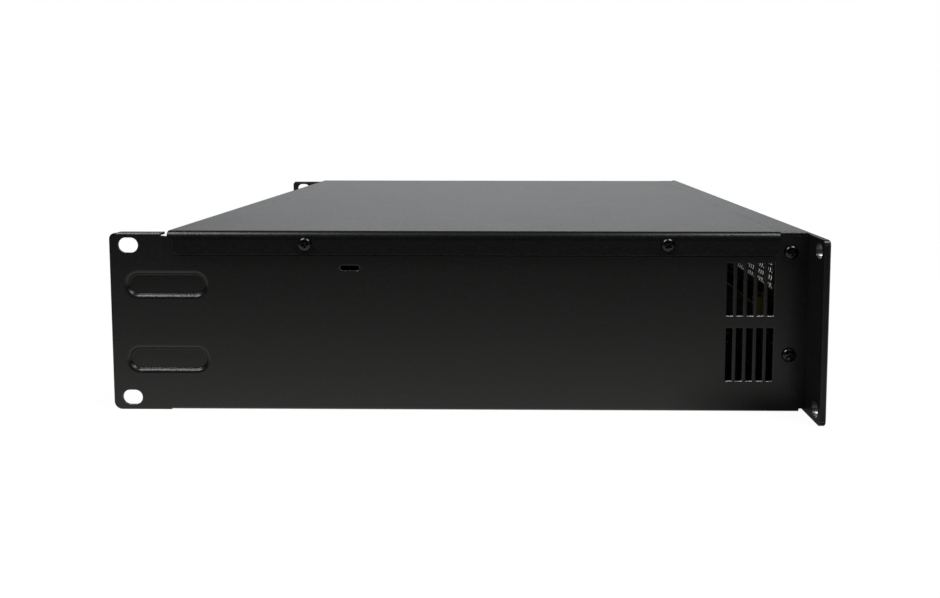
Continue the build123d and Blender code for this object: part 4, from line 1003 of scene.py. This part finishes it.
tilt = T(187.0, -2.2, -4.0) @ R(8.0, "X")
b = Build()
slope = math.degrees(math.atan2(1.2, 7.5))
for sz, kind in ((1, "bar"), (-1, "ring")):
    M = tilt @ T(0, -3.16, sz * 4.7) @ R(sz * -slope, "X")
    if kind == "bar":
        b.box(-0.28, 0.28, -0.02, 0.10, -1.5, 1.5, PRINT, M=M)
    else:
        idx = b.mi(PRINT)
        rows = []
        for k in range(48):
            a = 2 * math.pi * k / 48
            rows.append([b.bm.verts.new(M @ Vector((r * math.cos(a), y, r * math.sin(a))))
                         for r, y in ((1.05, -0.02), (1.6, -0.02), (1.6, 0.10), (1.05, 0.10))])
        for k in range(48):
            p, q = rows[k], rows[(k + 1) % 48]
            for i in range(4):
                j = (i + 1) % 4
                b.bm.faces.new((p[i], q[i], q[j], p[j])).material_index = idx
b.done("rocker_marks", "power_rocker", angle=20)


# =============================================================================
# fans: shaped blades, labels, wire guards
# =============================================================================
def rotor(x0, tag):
    b = Build()
    y_front, y_back = 287.7, 304.7
    M = T(x0, 0, 0) @ R(-90, "X")                 # +Z of the drawing to +Y
    hub = [(0, y_front + 0.9), (2.2, y_front + 0.9), (2.6, y_front + 0.6), (11.5, y_front + 0.15), (14.2, y_front + 0.25),
           (15.1, y_front + 0.7), (15.5, y_front + 1.6), (15.5, y_back - 0.2), (15.3, y_back), (13.6, y_back),
           (13.4, y_back - 0.2), (13.4, y_back - 2.2), (1.5, y_back - 2.2), (1.5, 309.6), (0, 309.7)]
    b.lathe(hub, FANBLACK, M, 72)
    mid = 296.3
    for k in range(7):
        idx = b.mi(FANBLACK)
        top, bot = [], []
        for i in range(9):
            r = 14.6 + (36.1 - 14.6) * i / 8
            pitch = math.radians(46 - 15 * i / 8)
            chord = 17.0 + 5.5 * i / 8
            lead = math.radians(360 / 7 * k + 12 * (i / 8) ** 1.4)
            rt, rb = [], []
            for j in range(13):
                u = j / 12 - 0.5
                cam = 1.5 * (1 - (2 * u) ** 2)
                th = 0.32 + 0.62 * (1 - (2 * abs(u + 0.12)) ** 2) if abs(u + 0.12) < 0.5 else 0.32
                for lst, sgn in ((rt, 1), (rb, -1)):
                    t = u * chord
                    n = cam + sgn * max(th, 0.3)
                    tang = t * math.cos(pitch) - n * math.sin(pitch)
                    ax = t * math.sin(pitch) + n * math.cos(pitch)
                    ax = max(-7.6, min(7.4, ax))
                    ang = lead + tang / r
                    lst.append(b.bm.verts.new((x0 + r * math.sin(ang), mid + ax, r * math.cos(ang))))
            top.append(rt)
            bot.append(rb)
        for i in range(8):
            for j in range(12):
                b.bm.faces.new((top[i][j], top[i][j + 1], top[i + 1][j + 1], top[i + 1][j])).material_index = idx
                b.bm.faces.new((bot[i][j], bot[i + 1][j], bot[i + 1][j + 1], bot[i][j + 1])).material_index = idx
            b.bm.faces.new((top[i][0], top[i + 1][0], bot[i + 1][0], bot[i][0])).material_index = idx
            b.bm.faces.new((top[i][12], bot[i][12], bot[i + 1][12], top[i + 1][12])).material_index = idx
        for i in (0, 8):
            for j in range(12):
                q = (top[i][j], bot[i][j], bot[i][j + 1], top[i][j + 1])
                b.bm.faces.new(q).material_index = idx
    o = b.done("rotor_skin_" + tag, "fan_rotor_" + tag, "fan_rotor_" + tag, angle=38)
    return o


b = Build()
lab = Build()
for x0, tag in ((105.0, "a"), (15.0, "b")):
    rotor(x0, tag)
    M = T(x0, 315.6, 0) @ R(-90, "X")
    for r in (37.5, 30.5, 23.5, 16.5, 9.5):
        b.ring(r, 0.9, CHROME, M, segs=120)
    for k in range(4):
        a = math.radians(45 + 90 * k)
        d = Vector((math.sin(a), 0, math.cos(a)))
        hole = 35.75 * math.sqrt(2)
        pts = [Vector((x0, 314.3, 0)) + d * r for r in (8.8, 20, 30, 38.6, 41.5)]
        pts += [Vector((x0, 314.22, 0)) + d * 43.6, Vector((x0, 313.98, 0)) + d * 45.6, Vector((x0, 313.86, 0)) + d * (hole - 2.9)]
        b.tube(pts, 0.85, CHROME, sides=12)
        b.ring(2.95, 0.82, CHROME, T(x0 + d.x * hole, 313.88, d.z * hole) @ R(-90, "X"), segs=40, sides=10)
    lab.lathe([(0, 0.0), (12.6, 0.0), (12.9, 0.02), (12.9, 0.05), (12.6, 0.07), (0, 0.07)], ZINC,
              T(x0, 311.69, 0) @ R(-90, "X"), 64)
b.done("guard_wires", "chassis", "fan_guards", angle=40)
lab.done("fan_labels", "chassis", angle=30)


# =============================================================================
# rear: contacts, threads, legends
# =============================================================================
b = Build()
back = R(-90, "X")
for z in (21.0, -21.0):
    for a in (90, 210, 330):
        px = -142.0 + 4.6 * math.cos(math.radians(a - 180))
        pz = z + 4.6 * math.sin(math.radians(a - 180))
        b.lathe([(0, -12.0), (1.42, -12.0), (1.42, -0.9), (1.3, -0.75), (1.0, -0.75), (0.92, -0.95), (0.92, -8.0), (0, -8.0)],
                GOLD, T(px, 315.2, pz) @ back, 28)
b.done("input_contacts", "chassis", angle=30)

b = Build()
for z in (21.0, -21.0):
    for k in range(4):
        M = T(-48.0, 0, z) @ Matrix.Rotation(math.radians(90 * k), 4, "Y")
        b.box(-1.6, 1.6, 299.0, 311.5, 7.22, 7.75, NICKEL, r=0.12, M=M)
b.done("speaker_contacts", "chassis", angle=30)

b = Build()
prof, y = [(5.42, 2.62), (5.56, 2.7)], 2.9
while y < 6.1:
    prof += [(5.62, y), (5.52, y + 0.18), (5.62, y + 0.36)]
    y += 0.40
prof += [(5.5, 6.42), (5.2, 6.5), (5.2, 2.62), (5.42, 2.62)]
b.lathe(prof, NICKEL, T(183.0, 313.0, 20.0) @ back, 64)
b.lathe([(5.52, 3.0), (7.2, 3.0), (7.4, 3.15), (7.4, 3.35), (5.52, 3.5)], NICKEL, T(183.0, 313.0 - 0.45, 20.0) @ back, 6)
b.done("breaker_thread", "chassis", angle=25)

b = Build()
for z in (21.0, -21.0):
    for x, kind in ((-72.5, "+"), (-91.5, "-")):
        b.box(x - 1.3, x + 1.3, 313.0, 313.03, z + 9.6, z + 10.0, PRINT)
        if kind == "+":
            b.box(x - 0.2, x + 0.2, 313.0, 313.03, z + 8.5, z + 11.1, PRINT)
    for x in (-142.0, -176.0, -48.0):
        b.box(x - 13.0, x + 13.0, 313.0, 313.03, z + 17.1, z + 17.35, PRINT)
for sz in (-1, 0, 1):
    b.box(-107.6, -105.4, 313.0, 313.03, sz * 2.5 - 0.14, sz * 2.5 + 0.14, PRINT)
for z in (21.0, -21.0):
    b.box(-101.6, -62.4, 313.0, 313.03, z + 17.1, z + 17.35, PRINT)
b.done("rear_print", "chassis", angle=20)


# =============================================================================
# power supply: transformer, capacitors, wiring and board parts
# =============================================================================
b = Build()
prof = []
R_IN, R_OUT, Z0, Z1, F = 20.0, 57.0, -40.8, 11.2, 9.0
for cx, cz, a0 in ((R_IN + F, Z0 + F, 180), (R_OUT - F, Z0 + F, 270), (R_OUT - F, Z1 - F, 0), (R_IN + F, Z1 - F, 90)):
    for k in range(9):
        a = math.radians(a0 + 90 * k / 8)
        prof.append((cx + F * math.cos(a), cz + F * math.sin(a)))
prof.append(prof[0])
centre_r, centre_z = (R_IN + R_OUT) / 2, (Z0 + Z1) / 2


idx = b.mi(FILM)
rows = []
SEG = 420
for k in range(SEG):
    a = 2 * math.pi * k / SEG
    ph = (k / SEG * 70) % 1.0
    row = []
    for r, z in prof[:-1]:
        d = 0.06 + 0.30 * (1 - ph)
        n = Vector((r - centre_r, z - centre_z)).normalized()
        flat_top = abs(z - Z1) < 0.5 or abs(z - Z0) < 0.5
        q, h = r - n.x * d * 0.9, z - n.y * (d if not flat_top else 0.10 + 0.12 * (1 - ph))
        row.append(b.bm.verts.new((-85.0 + q * math.cos(a), 102.0 + q * math.sin(a), h)))
    rows.append(row)
for k in range(SEG):
    p, q = rows[k], rows[(k + 1) % SEG]
    for i in range(len(p)):
        j = (i + 1) % len(p)
        b.bm.faces.new((p[i], q[i], q[j], p[j])).material_index = idx
b.done("transformer_winding", "chassis", "toroidal_transformer", angle=50)

b = Build()
for x in (97.0, 137.0):
    for y in (68.0, 109.0):
        M = T(x, y, -31.4)
        b.lathe([(0, 0.0), (17.3, 0.0), (17.45, 0.4), (17.5, 1.2), (17.5, 2.6), (16.9, 3.4), (16.9, 4.2), (17.5, 5.0),
                 (17.5, 47.8), (17.3, 48.9), (16.6, 49.7), (15.6, 50.0), (15.0, 49.9), (14.8, 49.35)], SLEEVE, M, 80)
        b.lathe([(14.85, 49.3), (14.6, 49.25), (0, 49.25)], ALU, M, 80)
        for t in (0, 60, 120):
            b.box(-9.5, 9.5, -0.22, 0.22, 49.2, 49.42, INNER, M=M @ R(t, "Z"))
b.done("capacitor_cans", "chassis", "reservoir_capacitors", angle=30)

wires = refine("internal_wiring", bevel=False, dissolve=False)
WCOL = [plastic("wire_" + n, c, rough=0.35, spec=0.45) for n, c in (
    ("brown", (0.10, 0.035, 0.015)), ("blue", (0.02, 0.05, 0.20)), ("yellow", (0.50, 0.36, 0.03)),
    ("red", (0.30, 0.012, 0.010)), ("grey", (0.13, 0.13, 0.13)))]
paint_islands(wires, WCOL)

# small parts standing on the boards
import random
rnd = random.Random(7)
b = Build()
TAN = plastic("resistor_tan", (0.55, 0.42, 0.25), rough=0.45)
BLUE = plastic("resistor_blue", (0.10, 0.22, 0.38), rough=0.4)
CERAM = plastic("ceramic_tan", (0.62, 0.36, 0.12), rough=0.4)


def resistor(x, y, z, along="X", mat=TAN, n=None):
    M = T(x, y, z + 1.6) @ (R(90, "Y") if along == "X" else R(-90, "X"))
    b.lathe([(0, -3.4), (0.8, -3.4), (1.15, -3.0), (1.2, -2.4), (1.0, -1.9), (1.0, 1.9), (1.2, 2.4), (1.15, 3.0), (0.8, 3.4), (0, 3.4)],
            mat, M, 16)
    for s in (-1, 1):
        d = Vector((s, 0, 0)) if along == "X" else Vector((0, s, 0))
        p = Vector((x, y, z + 1.6))
        b.tube([p + d * 3.3, p + d * 4.6, p + d * 5.0 - Vector((0, 0, 0.5)), p + d * 5.0 - Vector((0, 0, 1.7))], 0.28, NICKEL, 6)


def elcap(x, y, z, r, h):
    b.lathe([(0, 0.3), (r * 0.95, 0.3), (r, 0.7), (r, 1.4), (r * 0.95, 1.9), (r, 2.4), (r, h - 0.4), (r * 0.93, h), (r * 0.8, h),
             (r * 0.78, h - 0.2)], SLEEVE, T(x, y, z), 28)
    b.lathe([(r * 0.79, h - 0.18), (0, h - 0.18)], ALU, T(x, y, z), 28)


def to92(x, y, z):
    b.box(x - 2.2, x + 2.2, y - 1.6, y + 1.6, z + 2.5, z + 7.0, DEVICE, r=0.7, segs=3)
    for k in (-1.27, 0, 1.27):
        b.tube([(x + k, y, z + 2.6), (x + k, y, z)], 0.25, NICKEL, 6)


def filmcap(x, y, z, w, d, h, mat):
    b.box(x - w / 2, x + w / 2, y - d / 2, y + d / 2, z + 0.3, z + h, mat, r=0.5, segs=3)


top = -31.4
for bx, ys in ((158, (176, 183, 190, 222, 229, 256, 262, 268)),):
    for y in ys:
        for i in range(3):
            resistor(bx + 14 * i, y, top, "X", rnd.choice((TAN, BLUE, TAN)))
for x, y, r, h in ((195, 262, 5, 12), (195, 250, 5, 12), (160, 192 + 3, 0, 0), (197, 228, 4, 9), (172, 276, 4, 9), (184, 276, 4, 9)):
    if r:
        elcap(x, y, top, r, h)
for x, y in ((188, 240), (188, 246), (160, 146), (170, 142)):
    to92(x, y, top)
filmcap(190, 145, top, 14, 6, 10, YELLOW)
for y in (228, 234, 240, 268, 274):
    for i in range(4):
        resistor(-88 + 14 * i, y, top, "X", rnd.choice((TAN, BLUE)))
for x, y, r, h in ((-90, 200, 5, 12), (-90, 212, 5, 12), (-42, 256, 4, 9), (-90, 256, 4, 9)):
    elcap(x, y, top, r, h)
for x, y in ((-42, 196), (-36, 204), (-42, 246), (-48, 222)):
    to92(x, y, top)
filmcap(-80, 192, top, 12, 6, 10, YELLOW)
# fuses and snubbers of the supply board
for y in (60, 76, 92, 108):
    M = T(170.0, y, top + 4.2) @ R(90, "Y")
    b.lathe([(0, -10), (2.4, -10), (2.6, -9.8), (2.6, -5.4), (2.4, -5.2), (2.4, 5.2), (2.6, 5.4), (2.6, 9.8), (2.4, 10), (0, 10)],
            NICKEL, M, 24)
    for s in (-7.6, 7.6):
        b.box(170 + s - 1.2, 170 + s + 1.2, y - 3.0, y - 2.62, top, top + 6.5, NICKEL, r=0.1)
        b.box(170 + s - 1.2, 170 + s + 1.2, y + 2.62, y + 3.0, top, top + 6.5, NICKEL, r=0.1)
filmcap(176, 124, top, 18, 8, 14, YELLOW)
# preamplifier parts on the upright input board, seen from inside
for k, z in enumerate((-30, -24, -18, 12, 18, 24, 30)):
    for i in range(4):
        x = -196 + 18 * i
        M = T(x, 282.6, z) @ R(90, "Y")
        b.lathe([(0, -3.4), (0.8, -3.4), (1.15, -3.0), (1.2, -2.4), (1.0, -1.9), (1.0, 1.9), (1.2, 2.4), (1.15, 3.0), (0.8, 3.4),
                 (0, 3.4)], rnd.choice((TAN, BLUE)), M, 12)
for x in (-190, -140):
    b.box(x - 5, x + 5, 280.6, 284.1, -3.2, 3.2, DEVICE, r=0.3)
b.done("board_parts", "chassis", angle=34)

# film capacitor and connector on the control board, near the intake
b = Build()
b.box(-172.6, -164.4, 14.95, 15.5, -1.2, 5.2, CREAM, r=0.2)
b.box(-173.4, -163.6, 9.7, 14.4, 6.35, 6.9, CREAM, r=0.2)
for i in range(9):
    x = -130 + 11 * i
    if abs(x) > 24 and abs(x + 96) > 12:
        M = T(x, 10.9, -30.0) @ R(90, "Y")
        b.lathe([(0, -3.4), (0.8, -3.4), (1.15, -3.0), (1.2, -2.4), (1.0, -1.9), (1.0, 1.9), (1.2, 2.4), (1.15, 3.0), (0.8, 3.4),
                 (0, 3.4)], BLUE, M, 12)
b.done("control_parts", "chassis", angle=34)


# =============================================================================
# studio
# =============================================================================
floor_bm = bmesh.new()
FZ = CAD_BOX[0][2]
v = [floor_bm.verts.new((x, y, FZ)) for x, y in ((-9, -9), (9, -9), (9, 9), (-9, 9))]
floor_bm.faces.new(v)
me = bpy.data.meshes.new("floor")
floor_bm.to_mesh(me)
floor_bm.free()
floor = bpy.data.objects.new("floor", me)
COLL.objects.link(floor)

FLOOR_FAR, FLOOR_NEAR = 0.30, 1.10
g = Mat("floor_pale")
paper = g.noise(60.0, 4.0, 0.6)
g.set(color=g.mix(g.remap(paper, 0.3, 0.7, 0, 1), (0.80, 0.80, 0.80), (0.83, 0.83, 0.83)), rough=0.9, spec=0.1,
      normal=g.bump(g.noise(900.0, 3.0), 0.1, 0.0002))
em = g.add("ShaderNodeEmission")
em.inputs["Color"].default_value = (1, 1, 1, 1)
em.inputs["Strength"].default_value = 1.0
# for reflected and indirect rays the floor glows as painted light, brightest close to the amplifier's -X side and faint
# further out
painted_floor_light = g.add("ShaderNodeEmission")
painted_floor_light.inputs["Color"].default_value = (1.0, 1.0, 0.97, 1)
lp = g.add("ShaderNodeLightPath")
mix_cam = g.add("ShaderNodeMixShader")
fx, fy, fz = g.xyz()
dist = g.calc("POWER", g.calc("ADD", g.calc("POWER", fx, 2.0), g.calc("POWER", g.calc("SUBTRACT", fy, 0.15), 2.0)), 0.5)
g.t.links.new(g.remap(dist, 0.30, 0.75, 0.93, 1.0, smooth=True), mix_cam.inputs[0])
# painted contact shadow: the floor's glow is dimmed close to the front corner of the near side wall
painted_contact_shadow = g.calc("POWER", g.calc("ADD", g.calc("POWER", g.calc("ADD", fx, 0.222), 2.0),
                               g.calc("POWER", g.calc("SUBTRACT", fy, 0.008), 2.0)), 0.5)
glow = g.calc("ADD", g.remap(fx, -1.15, -0.55, 0.0, FLOOR_FAR), g.remap(fx, -0.55, -0.21, 0.0, FLOOR_NEAR - FLOOR_FAR))
g.t.links.new(g.calc("MULTIPLY", glow, g.remap(painted_contact_shadow, 0.012, 0.060, 0.12, 1.0)),
              painted_floor_light.inputs["Strength"])
g.t.links.new(g.bsdf.outputs[0], mix_cam.inputs[1])
g.t.links.new(em.outputs[0], mix_cam.inputs[2])
mix_all = g.add("ShaderNodeMixShader")
g.t.links.new(lp.outputs["Is Camera Ray"], mix_all.inputs[0])
g.t.links.new(painted_floor_light.outputs[0], mix_all.inputs[1])
g.t.links.new(mix_cam.outputs[0], mix_all.inputs[2])
g.t.links.new(mix_all.outputs[0], g.out.inputs[0])
floor.data.materials.append(g.m)

world = bpy.data.worlds.new("studio")
bpy.context.scene.world = world
world.use_nodes = True
wt = world.node_tree
wt.nodes.clear()
wout = wt.nodes.new("ShaderNodeOutputWorld")
tc = wt.nodes.new("ShaderNodeTexCoord")
sep = wt.nodes.new("ShaderNodeSeparateXYZ")
wt.links.new(tc.outputs["Generated"], sep.inputs[0])
bg_cam = wt.nodes.new("ShaderNodeBackground")
bg_cam.inputs[0].default_value = (1, 1, 1, 1)
bg_cam.inputs[1].default_value = 1.0
bg = wt.nodes.new("ShaderNodeBackground")
mx = wt.nodes.new("ShaderNodeMapRange")
mx.interpolation_type = "SMOOTHSTEP"
wt.links.new(sep.outputs[0], mx.inputs["Value"])
for k, x in zip(("From Min", "From Max", "To Min", "To Max"), (0.80, 1.0, 0.006, 1.12)):
    mx.inputs[k].default_value = x
low = wt.nodes.new("ShaderNodeMapRange")
wt.links.new(sep.outputs[2], low.inputs["Value"])
for k, x in zip(("From Min", "From Max", "To Min", "To Max"), (0.02, 0.42, 1.0, 0.30)):
    low.inputs[k].default_value = x
both = wt.nodes.new("ShaderNodeMath")
both.operation = "MULTIPLY"
wt.links.new(mx.outputs["Result"], both.inputs[0])
wt.links.new(low.outputs["Result"], both.inputs[1])
wt.links.new(both.outputs[0], bg.inputs[1])
bg.inputs[0].default_value = (0.97, 0.985, 1.0, 1)
wlp = wt.nodes.new("ShaderNodeLightPath")
wmix = wt.nodes.new("ShaderNodeMixShader")
wt.links.new(wlp.outputs["Is Camera Ray"], wmix.inputs[0])
wt.links.new(bg.outputs[0], wmix.inputs[1])
wt.links.new(bg_cam.outputs[0], wmix.inputs[2])
wt.links.new(wmix.outputs[0], wout.inputs[0])


def softbox(name, loc, target, size, power, color=(1, 1, 1)):
    li = bpy.data.lights.new(name, "AREA")
    li.shape = "RECTANGLE"
    li.size, li.size_y = size
    li.energy = power
    li.color = color
    o = bpy.data.objects.new(name, li)
    COLL.objects.link(o)
    o.location = loc
    o.rotation_euler = (Vector(target) - Vector(loc)).to_track_quat("-Z", "Y").to_euler()
    return o


softbox("softbox_rear", (-0.44, 0.93, 1.25), (-0.32, 0.55, 0), (0.54, 0.66), 25.0)
softbox("softbox_front", (-0.44, -0.47, 1.25), (-0.32, -0.12, 0), (0.54, 0.54), 21.0)
softbox("softbox_intake", (-0.34, -1.3, 0.35), (-0.1, 0.0, 0.02), (0.5, 0.4), 12.0).visible_glossy = False

# =============================================================================
# camera
# =============================================================================
YAW, PITCH, ROLL = 0.012475, 0.095717, 0.000875
fwd = Vector((math.cos(PITCH) * math.cos(YAW), math.cos(PITCH) * math.sin(YAW), -math.sin(PITCH)))
right = fwd.cross(Vector((0, 0, 1))).normalized()
up = right.cross(fwd)
r2 = right * math.cos(ROLL) + up * math.sin(ROLL)
u2 = up * math.cos(ROLL) - right * math.sin(ROLL)
cam_data = bpy.data.cameras.new("camera")
cam_data.sensor_fit = "HORIZONTAL"
cam_data.sensor_width = 36.0
cam_data.lens = 40.27
cam_data.shift_x = -0.0354
cam_data.shift_y = -0.08372
cam_data.clip_start = 0.01
cam_data.clip_end = 60.0
cam = bpy.data.objects.new("camera", cam_data)
COLL.objects.link(cam)
m = Matrix((r2, u2, -fwd)).transposed().to_4x4()
cam.matrix_world = Matrix.Translation((-0.72595, 0.14275, 0.09977)) @ m
bpy.context.scene.camera = cam
bpy.context.scene.view_settings.view_transform = "Standard"
bpy.context.scene.view_settings.look = "None"
